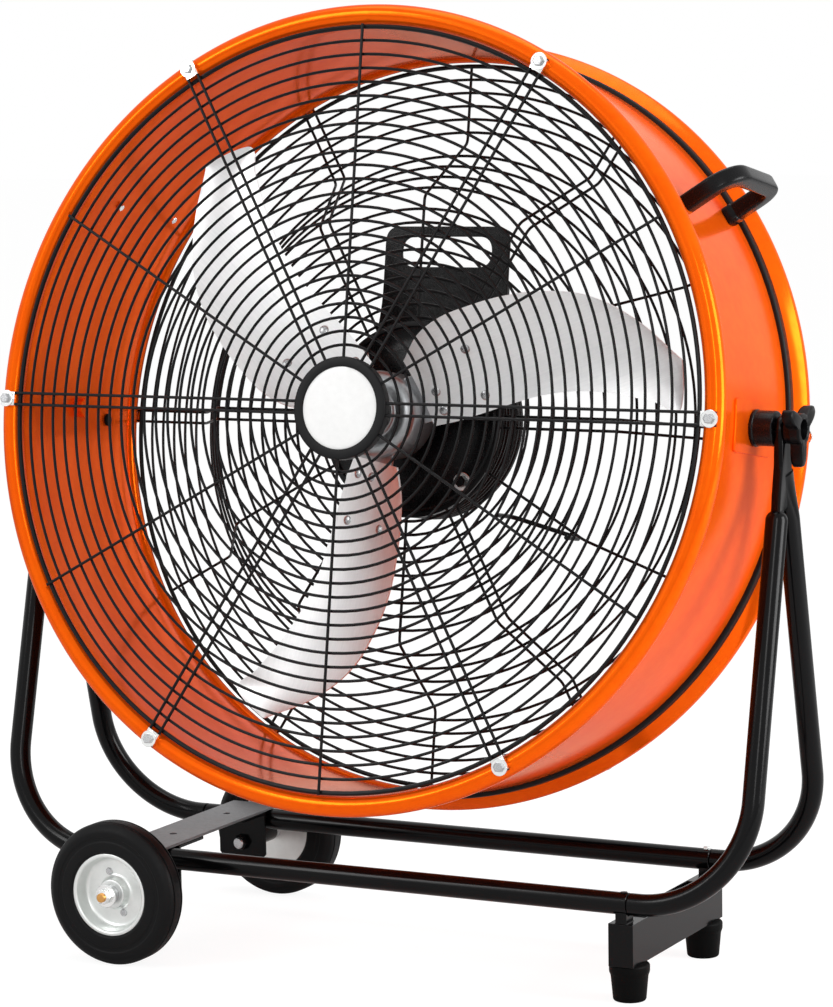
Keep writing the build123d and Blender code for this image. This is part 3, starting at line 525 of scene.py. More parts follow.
# %% [markdown]
# Each spoke pair is held on the rim by a folded steel tab and a bright hexagon bolt on a plated washer. The tab
# is a channel: its section is an upside-down U over the two wires, carried a short way outwards.


# %% Clips and their bolts
def tab(way):
    """Folded tab over a spoke pair, on a rim's face; y grows along way."""
    half, top, thick = 6.3, WIRE + 1.0, 0.9
    section = rounded([(-half, 0.1), (-half, top), (half, top), (half, 0.1), (half - thick, 0.1),
                       (half - thick, top - thick), (thick - half, top - thick), (thick - half, 0.1)],
                      [0.3, 1.6, 1.6] + [0.3] * 5)
    path = np.linspace((BEAD_R - 8, 0, 0), (BEAD_R + 4, 0, 0), 2)
    loops = path[:, None] + section[:, :1] * np.array([0, 0, 1]) + section[:, 1:] * np.array([0, way, 0])
    return moved(skin(loops), y=way * RIM_FACE)


def guard_fixings(way, word):
    seat = RIM_FACE + WIRE + 1.0
    plates, heads = ([around(moved(part, x=BEAD_R), a) for a in six]
                     for part in bolt(way * seat, way, across=7.6, head=3.0, plate=7.2, thick=1.2))
    piece(f"{word}_tabs", "drum", [around(tab(way), a) for a in six], ZINC, [f"{word}_clips"])
    piece(f"{word}_washers", "drum", plates, ZINC)
    piece(f"{word}_bolts", "drum", heads, STEEL, [f"{word}_clip_screws"])


guard_fixings(-1, "front")
guard_fixings(1, "rear")

# %% [markdown]
# ## Rear guard
# At the back the spokes lie flat on the rim, step inwards over a cone and run flat again to a collar round the
# motor. The motor hangs in this cage, so the rings on the cone sit inside the spokes.

# %% Rear cage
MOTOR_R, MOTOR_L, BOSS_R = 85.0, 47.0, 80.5
cage = [(BOSS_R + 2.8, REAR_FLAT_Y), (REAR_FLAT_R, REAR_FLAT_Y), (REAR_BEND_R, SPOKE_Y)]
rear_spokes = spoke_set(cage, SPOKE_Y, (9.0, 9.0))
BOSS_Y, BODY_Y = REAR_FLAT_Y - WIRE / 2, REAR_FLAT_Y + WIRE / 2
collar = turned(rounded([(BOSS_R + 0.4, BOSS_Y), (BOSS_R + 5, BOSS_Y), (BOSS_R + 5, BODY_Y),
                         (BOSS_R + 0.4, BODY_Y)], 0.5), 96)
piece("rear_spokes", "drum", rear_spokes + [collar], WIRE_BLACK, ["rear_guard_frame"])

outer = np.arange(RING_MAX - REAR_PITCH, REAR_BEND_R + WIRE, -REAR_PITCH)
inmost = np.arange(REAR_FLAT_R - REAR_PITCH, BOSS_R + 7.7, -REAR_PITCH)
foot, top = np.array([REAR_FLAT_R, REAR_FLAT_Y]), np.array([REAR_BEND_R, SPOKE_Y])
slope = unit(top - foot)
count = round(np.linalg.norm(top - foot) / (1.6 * REAR_PITCH))
cone = foot + (top - foot) * (np.arange(1, count) / count)[:, None] + WIRE * np.array([-slope[1], slope[0]])
rear_rings = [ring(r, SPOKE_Y - WIRE) for r in outer] + [ring(r, REAR_FLAT_Y - WIRE) for r in inmost]
rear_rings += [ring(r, y) for r, y in cone] + [ring(RING_MAX, SPOKE_Y - (WIRE + RIM_WIRE) / 2, RIM_WIRE)]
piece("rear_rings", "drum", rear_rings, WIRE_BLACK, ["rear_guard_rings"])

# %% [markdown]
# A wire loop stands on two of the rear rings, for winding up the lead.

# %% Cord hook
hook_half, hook_out, hook_turn = 34, BOSS_Y + 32, -14
hook = bent([(-hook_half, BOSS_Y, 0), (-hook_half, hook_out, 0), (hook_half, hook_out, 0), (hook_half, BOSS_Y, 0)],
            (9, 9), 1.5)
hook = around(sweep(hook, (0, 0, 1), circle(2.0, 12)), hook_turn)
piece("winding_hook", "drum", [moved(hook, x=120, z=-88)], WIRE_BLACK, ["cord_hook"])

# %% [markdown]
# ## Motor, bracket and switch box
# The motor is a cast pancake shape with cooling fins round its body and a rear cap. The fins are one wavy
# section: the radius goes up and down as the profile runs back.

# %% Motor
MOTOR_BACK = BODY_Y + MOTOR_L
along = np.linspace(BODY_Y + 5, MOTOR_BACK - 5, 49)
fins = coords(MOTOR_R - 1.6 * (0.5 - 0.5 * np.cos(2 * np.pi * (along - along[0]) / 6.2)), along)
body_profile = np.concatenate([[(11, BOSS_Y), (60, BOSS_Y), (62, BOSS_Y + 1), (72, BOSS_Y + 1), (78.5, BOSS_Y),
                                (BOSS_R, BOSS_Y + 1), (BOSS_R, BODY_Y), (82.5, BODY_Y), (MOTOR_R, BODY_Y + 2.5)], fins,
                               [(MOTOR_R, MOTOR_BACK - 2.5), (82.5, MOTOR_BACK), (11, MOTOR_BACK)]])
piece("motor_body", "drum", [turned(body_profile, 128)], MOULDED, ["motor_housing"])
cap = [(r, MOTOR_BACK + y) for r, y in ((0, 0.02), (60, 0.02), (62, 2), (61, 9), (57, 13), (50, 14), (30, 14),
                                        (28.5, 12.5), (14, 12.5), (0, 12.5))]
piece("motor_cap", "drum", [turned(cap, 96)], MOULDED, ["motor_rear_cap"])
seats, heads = ([around(moved(part, x=74), 45 + 90 * k) for k in range(4)]
                for part in bolt(BOSS_Y, -1, across=9.0, head=4.4, plate=8.0, thick=1.4))
piece("motor_washers", "drum", seats, ZINC)
piece("motor_screws", "drum", heads, BLACK, ["motor_bolts"])
dress("motor_bearings", STEEL)

# %% [markdown]
# The bracket is a 3 mm plate with a hand slot. A plate with a hole is a sheet between two outlines: the hole's
# points and the rim's points are taken at the same turns round the slot, and joined. Its thickness runs the
# loops back on the other side, so the shell is closed.


# %% Plates between two outlines
def resampled(outline, count):
    """Points at equal steps of length along a closed outline."""
    p = np.vstack([outline, outline[:1]])
    s = np.concatenate([[0], np.cumsum(np.linalg.norm(np.diff(p, axis=0), axis=1))])
    t = np.linspace(0, s[-1], count, endpoint=False)
    return coords(np.interp(t, s, p[:, 0]), np.interp(t, s, p[:, 1]))


def seen_from(outline, centre, count):
    """Where rays from the centre at equal turns meet the outline, for an outline that it can see all of."""
    p = resampled(outline, 4000) - centre
    a = np.unwrap(np.arctan2(p[:, 1], p[:, 0]))
    if a[-1] < a[0]:
        p, a = p[::-1], a[::-1]
    order = np.argsort(a % (2 * np.pi))
    turns = np.linspace(0, 2 * np.pi, count, endpoint=False)
    r = np.interp(turns, (a % (2 * np.pi))[order], np.linalg.norm(p, axis=1)[order], period=2 * np.pi)
    return centre + r[:, None] * coords(np.cos(turns), np.sin(turns))


def plate_with_hole(outer, hole, thick, edge=0.5):
    """Closed shell: hole edge, one face, outer edge, other face, with the edges eased by a small step."""
    middle = hole + (outer - hole) * 0.5
    ease = unit(outer - hole) * edge
    rows = [(hole, edge), (hole + ease, 0), (middle, 0), (outer - ease, 0), (outer, edge), (outer, thick - edge),
            (outer - ease, thick), (middle, thick), (hole + ease, thick), (hole, thick - edge)]
    return skin(stacked(rows), closed=True)


SLOT_Z, PLATE_T = 151.5, 3.0
slot_centre = np.array([0, SLOT_Z])
slot = oblong(44, 13.5, 13.4, 12, SLOT_Z)
outline = rounded([(-68, -40), (68, -40), (68, 62), (61, 102), (61, 174), (-61, 174), (-61, 102), (-68, 62)],
                  [6, 6, 22, 22, 14, 14, 22, 22], 8)
bracket = plate_with_hole(seen_from(outline, slot_centre, 240), seen_from(slot, slot_centre, 240), PLATE_T)
piece("motor_plate", "drum", [moved(bracket, y=MOTOR_BACK)], MOULDED, ["motor_bracket"])

# %% [markdown]
# The switch box is a moulded case on the back of that plate, with a rotary switch and a gland for the lead. The
# lead itself isn't part of this model.

# %% Switch box, dial and gland
BOX_D, BOX_HALF, BOX_Z = 36.0, 31.0, 98.0
box_low, box_high = MOTOR_BACK + PLATE_T, MOTOR_BACK + PLATE_T + BOX_D
rim = oblong(46, BOX_HALF, 7, 6, BOX_Z)
middle = rim.mean(0)
rows = [(0.985, box_low), (1.0, box_low + 1), (1.0, box_high - 13), (0.985, box_high - 12.6), (0.985, box_high - 11.6),
        (1.0, box_high - 11.2), (1.0, box_high - 2.5), (0.985, box_high - 0.8), (0.95, box_high)]
case = skin(stacked([(middle + (rim - middle) * f, y) for f, y in rows]))
lid_screws = [moved(hexagon(5.0, 1.2, 0.4), x=x, y=box_high - 0.2, z=z) for x in (-37, 37)
              for z in (BOX_Z - 22, BOX_Z + 22)]
piece("switch_case", "drum", [case], CASE, ["control_box"])
piece("lid_screws", "drum", lid_screws, ZINC)
dress("speed_switch_stem", STEEL)

turns = np.arange(144) * 2 * np.pi / 144
knob_low = box_high + 0.3
dial_rows = [(16.2, 0.0), (17.0, 1.2), (16.6, 9.0), (15.2, 12.6), (12.5, 14.0), (3.2, 14.0)]
grip = 1 - 0.035 * (0.5 + 0.5 * np.cos(turns * 18))
loops = np.stack([coords(r * np.where(r > 13, grip, 1) * np.cos(turns), knob_low + y,
                         BOX_Z + r * np.where(r > 13, grip, 1) * np.sin(turns)) for r, y in dial_rows])
pointer = skin(stacked([(oblong(2.6 * f, 14.6 * f, 1.5, middle=BOX_Z), knob_low + y)
                        for f, y in ((1.0, 13.5), (1.0, 16.2), (0.9, 17.0))]))
piece("dial", "speed_dial", [skin(loops), pointer], DIAL, ["speed_knob"])

gland_y, gland_x, case_low = box_low + BOX_D * 0.62, 23.0, BOX_Z - BOX_HALF
gland = [(3.6, -14.6), (6.0, -15), (6.5, -14), (6.5, -6.4), (8.4, -6), (9.0, -5.4), (9.0, -0.6), (8.6, 0), (3.6, 0)]
nut = turned(gland, 36)
piece("lead_gland", "drum", [moved(along_z(nut), x=gland_x, y=gland_y, z=case_low)], CASE,
      ["cord_gland"])

# %% [markdown]
# ## Fan
# Each blade is a pressed sheet that twists and is cambered. It is known at thirteen distances along its mid line
# by its front and rear edge. A smooth curve through those numbers gives the sheet at any distance, and the
# camber is a parabola across it.

# %% Blade sections
DRAWN = np.array([
    (40.0, 33.0, -47.0, -23.0, -20.0), (62.0, 47.0, -57.0, -26.0, -20.5), (85.0, 53.5, -60.0, -27.2, -21.0),
    (115.0, 55.2, -57.0, -28.4, -22.5), (147.0, 53.5, -52.8, -31.2, -24.0), (185.0, 44.6, -49.4, -41.0, -25.4),
    (213.0, 32.0, -45.8, -53.5, -26.8), (240.0, 9.0, -42.6, -69.0, -28.0), (262.0, -20.5, -40.0, -81.3, -29.1),
    (266.0, -27.5, -39.6, -75.0, -30.8), (271.0, -36.0, -39.0, -64.5, -33.5), (275.0, -42.5, -38.6, -53.5, -36.5),
    (277.0, -45.5, -38.4, -48.0, -37.9)])      # distance along, front edge, rear edge
CAMBER, BLADE_T = 0.06, 2.0


def between(x):
    """Smooth values between the drawn sections: cubic curves whose slopes are those of the neighbours."""
    xs, ys = DRAWN[:, 0], DRAWN[:, 1:]
    slopes = np.gradient(ys, xs, axis=0)
    k = np.clip(np.searchsorted(xs, x) - 1, 0, len(xs) - 2)
    h = (xs[k + 1] - xs[k])[:, None]
    t = (x - xs[k])[:, None] / h
    return ((2 * t ** 3 - 3 * t ** 2 + 1) * ys[k] + (t ** 3 - 2 * t ** 2 + t) * h * slopes[k]
            + (3 * t ** 2 - 2 * t ** 3) * ys[k + 1] + (t ** 3 - t ** 2) * h * slopes[k + 1])


def on_blade(x, t, off=0.0):
    """Point at distance x, share t of the way from the rear edge to the front edge, off behind the sheet: the
    chord's point plus its normal times camber * chord * (1 - (1 - 2t)^2)."""
    zf, yf, zr, yr = np.moveaxis(between(x), -1, 0)[:, :, None]
    wide = np.hypot(zf - zr, yf - yr)
    nz, ny = -(yf - yr) / wide, (zf - zr) / wide
    lift = off + CAMBER * wide * (1 - (1 - 2 * t) ** 2)
    return coords(x[:, None], yr + (yf - yr) * t + ny * lift,
                  zr + (zf - zr) * t + nz * lift)


stations = np.concatenate([np.linspace(40, 256, 56), np.linspace(258, 277, 24)])
share = np.linspace(0, 1, 26)[None, :]
blade = np.concatenate([on_blade(stations, share), on_blade(stations, share[:, ::-1], BLADE_T)], 1)
for k, n in enumerate("abc"):
    piece(f"blade_{n}", "fan", [around(skin(blade), BLADE_TURN + 120 * k)], BLADES[k],
          [f"fan_blade_{n}"], edge=0.6)

# %% [markdown]
# The blades are riveted to three arms of a cast hub. The arms follow the blades' backs, so they are made from
# the same sections. A nut holds the hub on the shaft.

# %% Hub, arms, rivets and nut
arm_x = np.concatenate([[20.0], np.linspace(26, 112, 24), [115.0]])
arm_share = np.linspace(0.06, 0.75, 12)[None, :]
reach = np.clip((arm_x[:, None] - 70) / 45, 0, 1)
arm_share = arm_share + (0.4 - arm_share) * 0.45 * reach ** 2
near, far = 0.2 + BLADE_T, 3.2 + BLADE_T
arm_at = np.clip(arm_x, 40, None)
arm = np.concatenate([on_blade(arm_at, arm_share, near), on_blade(arm_at, arm_share[:, ::-1], far)], 1)
arm[..., 0] = arm_x[:, None]
hub = rounded([(8.02, -50), (20, -50), (21, -47), (30, -47), (37, -42), (37, -4), (34, 2), (8.02, 2)],
              [0.4, 1, 1.5, 3, 4, 2, 3, 0.4])
hub_parts = [turned(hub, 96)] + [around(skin(arm), BLADE_TURN + 120 * k) for k in range(3)]
piece("cast_hub", "fan", hub_parts, CAST, ["fan_hub"], edge=0.8)


def rivet(x, t):
    """Domed head on the blade's front: a quarter ellipse turned about Y, leaned to the sheet."""
    a = np.linspace(0, np.pi / 2, 8)
    head = coords(4.2 * np.cos(a), -1.5 * np.sin(a))
    dome, faces = turned(np.concatenate([[(0, 0.3), (4.2, 0.3)], head]), 24)
    here, there = on_blade(np.array([x, x]), np.array([[t - 0.02, t + 0.02]] * 2))[0]
    lean = math.atan2(there[1] - here[1], there[2] - here[2])
    c, s = math.cos(lean), math.sin(lean)
    at = (here + there) / 2
    return coords(dome[:, 0] + at[0], dome[:, 1] * c + dome[:, 2] * s + at[1],
                  dome[:, 2] * c - dome[:, 1] * s + at[2]), faces


RIVETS = ((54, 0.15), (54, 0.38), (95, 0.15), (95, 0.62))      # distance along the blade, share across it
rivets = [around(rivet(x, t), BLADE_TURN + 120 * k) for k in range(3) for x, t in RIVETS]
piece("rivets", "fan", rivets, STEEL, ["blade_rivets"])
shaft_end = [(0, -58), (6.6, -58), (8, -56.6)] + [(8 - 0.6 * (k % 2), -56 + 0.75 * k) for k in range(8)]
shaft = turned(shaft_end + [(8, -50), (8, MOTOR_BACK - 0.5), (0, MOTOR_BACK - 0.5)], 32)
piece("shaft", "fan", [shaft], STEEL, ["fan_shaft"])
nut = turned([(8.1, -50.1), (12.0, -50.1), (13, -51), (13, -56), (11.6, -57), (8.1, -57)], 6)
piece("shaft_nut", "fan", [nut], ZINC, ["hub_nut"])

# %% [markdown]
# ## Carry handles
# Two moulded handles stand on the drum. A rounded square section runs along a bent line, with a wide bend in
# front and a tight one behind. The rear foot has a thicker collar.

# %% Handles
grip_out, grip_front, grip_back, grip_turn = BODY_R + 46.3, -37.0, 54.0, 33.3
section = oblong(7.4, 7.4, 3.6, 5)
line = bent([(BODY_R + 0.2, grip_front, 0), (grip_out, grip_front, 0), (grip_out, grip_back, 0),
             (BODY_R + 0.2, grip_back, 0)], (22, 15), 2.5)
grip_bar = sweep(line, (0, 0, 1), section)
collar_rows = [(1.0, 0.2), (1.09, 0.8), (1.09, 8.6), (1.0, 9.6)]
foot_line = section[:, ::-1]
collar = skin(stacked([(foot_line * f + (grip_back, 0), BODY_R + h) for f, h in collar_rows], 0))
handles = both([around(part, grip_turn) for part in (grip_bar, collar)])
piece("handles", "drum", handles, MOULDED, ["carry_handles"])
inside = inner * math.cos(math.pi / 40) - 0.3
inner_head = along_x(moved(flipped(hexagon(6.0, 2.4), 1), y=inside))
heads = both([around(moved(inner_head, y=y), grip_turn) for y in (grip_front, grip_back)])
piece("handle_bolts", "drum", heads, ZINC, ["handle_screws"])

# %% [markdown]
# ## Pivots
# A saddle plate follows the drum's curve and spreads the load. On it stand a black spacer with a flange, the
# stand's flattened head and a three-lobed knob, all on one stud.


# %% Saddle plates
def on_cylinder(points, radius):
    """Flat (along the drum, round the drum) points wrapped onto the drum, round the +X side."""
    a = points[..., 1] / radius
    return coords(radius * np.cos(a), points[..., 0], radius * np.sin(a))


turns = np.linspace(0, 2 * np.pi, 96, endpoint=False)
hole = 5.02 * coords(np.cos(turns), np.sin(turns))
square = oblong(42, 22, 5, 6)
edge = seen_from(square, np.zeros(2), 96)
saddle_rows = []
for share, radius in [(0, BODY_R), (0, BODY_R + 2)] + [(s, BODY_R + 2) for s in (0.2, 0.4, 0.6, 0.8, 0.985)] \
        + [(1, BODY_R + 1.2)] + [(s, BODY_R) for s in (1, 0.8, 0.6, 0.4, 0.2)]:
    saddle_rows.append(on_cylinder(hole + (edge - hole) * share, radius))
saddle = skin(np.stack(saddle_rows), closed=True)
piece("saddles", "drum", both([saddle]), ORANGE, ["pivot_saddles"])

# %% Spacers and studs
spacer_start, head_in, head_thick = BODY_R + 2, BODY_R + 22.0, 8.0
spacer = rounded([(5.02, 0), (15.5, 0), (15.5, 2.6), (14.6, 3.2), (14.6, 19.7), (5.02, 19.7)],
                 [0.2, 0.8, 0.5, 0.5, 1.4, 0.2])
spacer = moved(along_x(turned(spacer, 64)), x=spacer_start)
piece("spacers", "drum", both([spacer]), MOULDED, ["pivot_spacers"])
stud_end = head_in + head_thick + 0.3 + 6.6
stud = [(0, inside - 6.7), (8.0, inside - 6.7), (8.66, inside - 6), (8.66, inside), (5, inside), (5, stud_end - 1),
        (4.2, stud_end), (0, stud_end)]
stud = along_x(turned(stud, 32))
piece("studs", "drum", both([stud]), ORANGE, ["pivot_studs"])
grommet = turned([(0, 0), (5.6, 0), (5.6, -0.8), (4.4, -1.8), (0, -1.8)], 32)
grommet = flipped(moved(along_x(grommet), x=inside, y=47.0), 0)
piece("lead_grommet", "drum", [around(grommet, 1.4)], RUBBER)

# %% [markdown]
# The knob is one moulding: a round core with three lobes, one hanging down, and a round recess in its face. Its
# radius at each turn is the core's, or that of a lobe with straight sides and a round tip.


# %% Clamp knobs
def knob_outline(turns):
    """Core circle, or a lobe where it reaches farther: straight sides LOBE / sin(turn), closed by a tip circle at
    FAR: FAR cos(turn) + sqrt(LOBE^2 - FAR^2 sin(turn)^2)."""
    r = np.full_like(turns, CORE)
    for at in (-90, 30, 150):
        away = np.abs((turns - math.radians(at) + np.pi) % (2 * np.pi) - np.pi)
        side = LOBE / np.maximum(np.sin(np.minimum(away, np.pi / 2)), 1e-6)
        tip = FAR * np.cos(away) + np.sqrt(np.maximum(LOBE ** 2 - (FAR * np.sin(away)) ** 2, 0))
        r = np.maximum(r, np.where(away < math.atan(LOBE / FAR), tip, np.where(away < 1.2, side, 0)))
    return r


CORE, LOBE, FAR = 16.5, 6.3, 28.5
turns = np.linspace(0, 2 * np.pi, 288, endpoint=False)
reach = knob_outline(turns)
reach = sum(np.roll(reach, k) for k in range(-5, 6)) / 11
x0 = head_in + head_thick + 0.3
knob_rows = [(5.1, 0.0, 0), (11.0, 0.0, 0), (12.2, 0.8, 0), (12.4, 3.8, 0), (12.6, 4.4, 0.9), (13.0, 5.4, 0.985),
             (13.0, 6.6, 1.0), (13.0, 12.2, 1.0), (13.0, 13.6, 0.97), (12.6, 14.5, 0.9), (10.5, 15.0, 0.75),
             (9.6, 15.0, 0.1), (8.6, 14.2, 0), (7.6, 8.8, 0), (0.02, 8.6, 0)]    # core radius, x, share of the lobes


def knob_loop(x, r):
    """Loop about the tilt axis, x from the knob's inner face, at a radius r for each of turns."""
    return coords(x0 + x, r * np.cos(turns), PIVOT_H + r * np.sin(turns))


bore = [knob_loop(7.4, r) for r in (0.02, 5.1)]
knob = skin(np.stack(bore + [knob_loop(x, core + (reach - CORE) * f) for core, x, f in knob_rows]), caps=False)
piece("knob_right", "right_knob", [knob], KNOB, ["right_clamp_knob"])
piece("knob_left", "left_knob", [flipped(knob, 0)], KNOB, ["left_clamp_knob"])

# %% [markdown]
# ## Stand
# The stand is bent from one size of tube. Each leg turns up out of the rail in a wide bend and leans inwards.
# The front leg ends in a dome beside the head. The rear one is squeezed flat on its way up and becomes the
# head that carries the stud: its section goes from a circle to a wide flat oval.

# %% Tubes
TUBE_R, LEG_X, RAIL_Y, TOP_Y, HEAD_LOW = 9.25, head_in + 3.8, 89.5, 14.0, PIVOT_H - 75
RAIL_Z = (box("base_rails")[0][2] + box("base_rails")[1][2]) / 2
RAIL_X = LEG_X - 92 - 7.8
lean = (RAIL_Y - TOP_Y) / (HEAD_LOW - RAIL_Z)


def leg_path(side, top):
    """From the rail's end round the corner and up to height top, leaning inwards to be TOP_Y apart at HEAD_LOW."""
    return bent([(RAIL_X + 0.8, side * RAIL_Y, RAIL_Z), (LEG_X, side * RAIL_Y, RAIL_Z),
                 (LEG_X, side * (TOP_Y + lean * (HEAD_LOW - top)), top)], (92,), 4.0)


def leg_normal(side):
    return unit(np.cross((1, 0, 0), (0, -side * lean, 1)))


def front_leg(top=402.0):
    path = leg_path(-1, top - TUBE_R * 0.9)
    ahead = unit(path[-1] - path[-2])
    a = np.linspace(0.12, 1.0, 7) * np.pi / 2
    path = np.concatenate([path, path[-1] + ahead * (TUBE_R * 0.9 * np.sin(a))[:, None]])
    size = np.ones(len(path))
    size[-7:] = np.cos(a) * 0.98 + 0.02
    return sweep(path, leg_normal(-1), circle(TUBE_R, 32)[None] * size[:, None, None])


def easing(t):
    t = np.clip(t, 0, 1)
    return t * t * (3 - 2 * t)


def rear_leg(top=430.0):
    """Tube to z 396, then flattened: thin across X, wide along the leg's plane, blended over 30 mm."""
    path = leg_path(1, 392.0)
    extra = np.linspace(396, top, 14)
    more = coords(LEG_X, TOP_Y + lean * (HEAD_LOW - extra), extra)
    path = np.concatenate([path, more])
    f = easing((path[:, 2] - 388) / 40)[:, None]
    round_tube = circle(TUBE_R, 32)
    section = coords(round_tube[None, :, 0] * (1 + 0.45 * f), round_tube[None, :, 1] * (1 - 0.38 * f))
    return sweep(path, leg_normal(1), section)


front, rear = front_leg(), rear_leg()
piece("legs_front", "stand", both([front]), BLACK, ["front_legs"])
piece("legs_rear", "stand", both([rear]), BLACK, ["rear_legs"])

RAIL_L = 2 * RAIL_X
rail = [(0, 0.02), (8.2, 0.02), (TUBE_R, 1.0), (TUBE_R, RAIL_L - 1.0), (8.2, RAIL_L - 0.02), (0, RAIL_L - 0.02)]
rail = moved(along_x(turned(rail, 32)), x=-RAIL_X, z=RAIL_Z)
piece("rails", "stand", [moved(rail, y=-RAIL_Y), moved(rail, y=RAIL_Y)], BLACK, ["base_rails"])

# %% [markdown]
# The head is a plate from the eye down to the two tubes. Its outline is the eye's circle, drawn out to the
# tubes' outer sides, and its edges are well rounded, because it was pressed from tube.

# %% Leg heads
eye = 11.0
spread = TOP_Y + TUBE_R * 0.9
arc = np.radians(np.linspace(0, 180, 17))
eye_top = coords(eye * np.cos(arc), PIVOT_H + eye * np.sin(arc))
flank = [(eye, PIVOT_H - 12), (eye, PIVOT_H - 34), (14.5, PIVOT_H - 56), (spread, HEAD_LOW + 3),
         (spread - 4, HEAD_LOW - 1), (9, HEAD_LOW + 4)]
sides = [(-y, z) for y, z in flank] + [(0, HEAD_LOW + 10)] + flank[::-1]
head_outline = rounded(np.concatenate([eye_top, sides]), 6, 3)
head_edge = seen_from(head_outline, np.array([0, PIVOT_H]), 160)
turns = np.linspace(0, 2 * np.pi, 160, endpoint=False)
eye_hole = np.array([0, PIVOT_H]) + 5.05 * coords(np.cos(turns), np.sin(turns))
ease = unit(head_edge - eye_hole)
rows = [(eye_hole, 0.4), (eye_hole + ease * 0.4, 0), (head_edge - ease * 3.6, 0), (head_edge - ease * 2.0, 0.4),
        (head_edge - ease * 0.7, 1.5), (head_edge, 3.2), (head_edge, 4.8), (head_edge - ease * 0.7, 6.5),
        (head_edge - ease * 2.0, 7.6), (head_edge - ease * 3.6, 8.0), (eye_hole + ease * 0.4, 8.0), (eye_hole, 7.6)]
head = skin(stacked([(p, head_in + x) for p, x in rows], 0), closed=True)
piece("heads", "stand", both([head]), BLACK, ["leg_heads"])

# %% [markdown]
# ## Foot bar and feet
# A folded channel hangs under the right ends of the rails. Its walls are thin plates, so the CAD solid is right
# and only needs soft edges. The feet are rubber bushes with a lip that grips the bar.

# %% Foot bar, feet and rail bolts
dress("foot_bar", BLACK, edge=0.7)
foot_x, foot_y = RAIL_X - 5, 79.7
foot = rounded([(0.01, 0), (12.8, 0), (13.8, 1.2), (15.7, 21.5), (16.9, 24.0), (17, 29.6), (16, 31), (0.01, 31)],
               [0.01, 0.6, 0.6, 1.6, 1.6, 0.9, 0.8, 0.01])
foot = along_z(turned(foot, 64))
piece("feet", "stand", [moved(foot, x=foot_x, y=s * foot_y) for s in (-1, 1)], RUBBER, ["rubber_feet"])
for side, word, proud, material, slot in ((-1, "painted", 0.8, BLACK, "black_enamel"),
                                          (1, "plated", 2.2, ZINC, "zinc_plate")):
    small = along_z(hexagon(5.6, proud))
    piece(f"{word}_rail_screw", "stand", [moved(small, x=foot_x, y=side * RAIL_Y, z=RAIL_Z + TUBE_R - 0.1)], material,
          ["rail_bolts"] if side > 0 else ())

# %% [markdown]
# ## Wheels
# A flat bar lies across the rails, and each of two hangers under it carries a stub axle. Each wheel is a solid
# rubber tyre on a pressed zinc disc: a rolled lip, a deep dish and a raised boss, which are one lathe profile.

# %% Strap, hangers and axles
dress("wheel_strap", STRAP, edge=0.5)
dress("axle_hangers", BLACK, edge=0.6)
wheel_x, _, wheel_z = (v / MM for v in places["front_wheel_spin"]["pos_m"])
wheel_y = abs(places["front_wheel_spin"]["pos_m"][1]) / MM


def at_axle(surfaces):
    return [moved(s, x=wheel_x, z=wheel_z) for s in surfaces]


AXLE_END, TIP_START, AXLE_START = -170, -158, -66       # y of the front axle's outer end, its thread and inner end
grooves = [(4 - 0.4 * (k % 2), AXLE_END + 0.6 + 0.7 * k) for k in range(14)]
tip = turned([(0, AXLE_END), (3.3, AXLE_END)] + grooves + [(4, TIP_START), (0, TIP_START)], 32)
axle = turned([(0, TIP_START + 0.1), (5, TIP_START + 0.1), (5, AXLE_START - 0.8), (4.2, AXLE_START),
               (0, AXLE_START)], 32)
piece("axle_tips", "stand", at_axle(both([tip], 1)), BRASS)
piece("stub_axles", "stand", at_axle(both([axle], 1)), STEEL, ["axle"])
bush_end = wheel_y + 16
nut_rows = [(0.05, 0.05), (1.6, 0.05), (2.4, 0.8), (2.4, 5.2), (1.6, 6.0), (0.05, 6.0)]
nuts = [moved(turned([(r + 4, y) for r, y in nut_rows], 6), y=bush_end + 0.3 + 1.6)]
inner_nuts = [moved(turned([(r + 5, y) for r, y in nut_rows], 6), y=67.95)]
washers = [moved(washer(10, 5.03, 1.55), y=bush_end + 0.3)]
piece("nuts", "stand", at_axle(both(nuts, 1)), ZINC, ["axle_nuts"])
piece("inner_nuts", "stand", at_axle(both(inner_nuts, 1)), BLACK)
piece("washers", "stand", at_axle(both(washers, 1)), ZINC, ["axle_washers"])
sleeve = turned(rounded([(5.03, 77.05), (8.5, 77.05), (8.5, wheel_y - 18.4), (5.03, wheel_y - 18.4)], 0.4), 32)
piece("sleeves", "stand", at_axle(both([sleeve], 1)), BLACK, ["axle_spacers"])

# %% Tyres and rims
half_tyre = [(36.05, 12.6, 0.3), (38, 14, 0.8), (46, 13.6, 0.8), (47, 12.9, 0.6), (50, 12.9, 0.6), (51, 13.5, 0.6),
             (56, 13.3, 2.5), (61, 9.6, 2.0), (62.3, 6.6, 0.3), (60.6, 6.2, 0.3), (60.6, 5.0, 0.3), (62.3, 4.6, 0.3)]
tyre_rows = np.array([(r, -y, cut) for r, y, cut in half_tyre] + half_tyre[::-1])      # radius, y, corner cut
tyre_profile = rounded(tyre_rows[:, :2], tyre_rows[:, 2])
disc_profile = rounded([(8.02, -12.5), (36, -12.5), (36, 12.5), (33.6, 12.9), (32, 11.6), (30.5, 1.0), (28, -0.6),
                        (15.5, -0.6), (13.4, 1.5), (12.6, 8.6), (8.02, 8.8)],
                       [0.3, 0.3, 0.6, 1.0, 1.5, 3.0, 2.0, 2.0, 1.6, 1.2, 0.2])
bush_profile = rounded([(5.05, -18), (8, -18), (8, bush_end - wheel_y), (5.05, bush_end - wheel_y)], 0.4)
plug = moved(turned([(0, 0), (3.2, 0), (3.2, 0.7), (2.6, 1.5), (0, 1.8)], 24), x=19, y=-0.6)
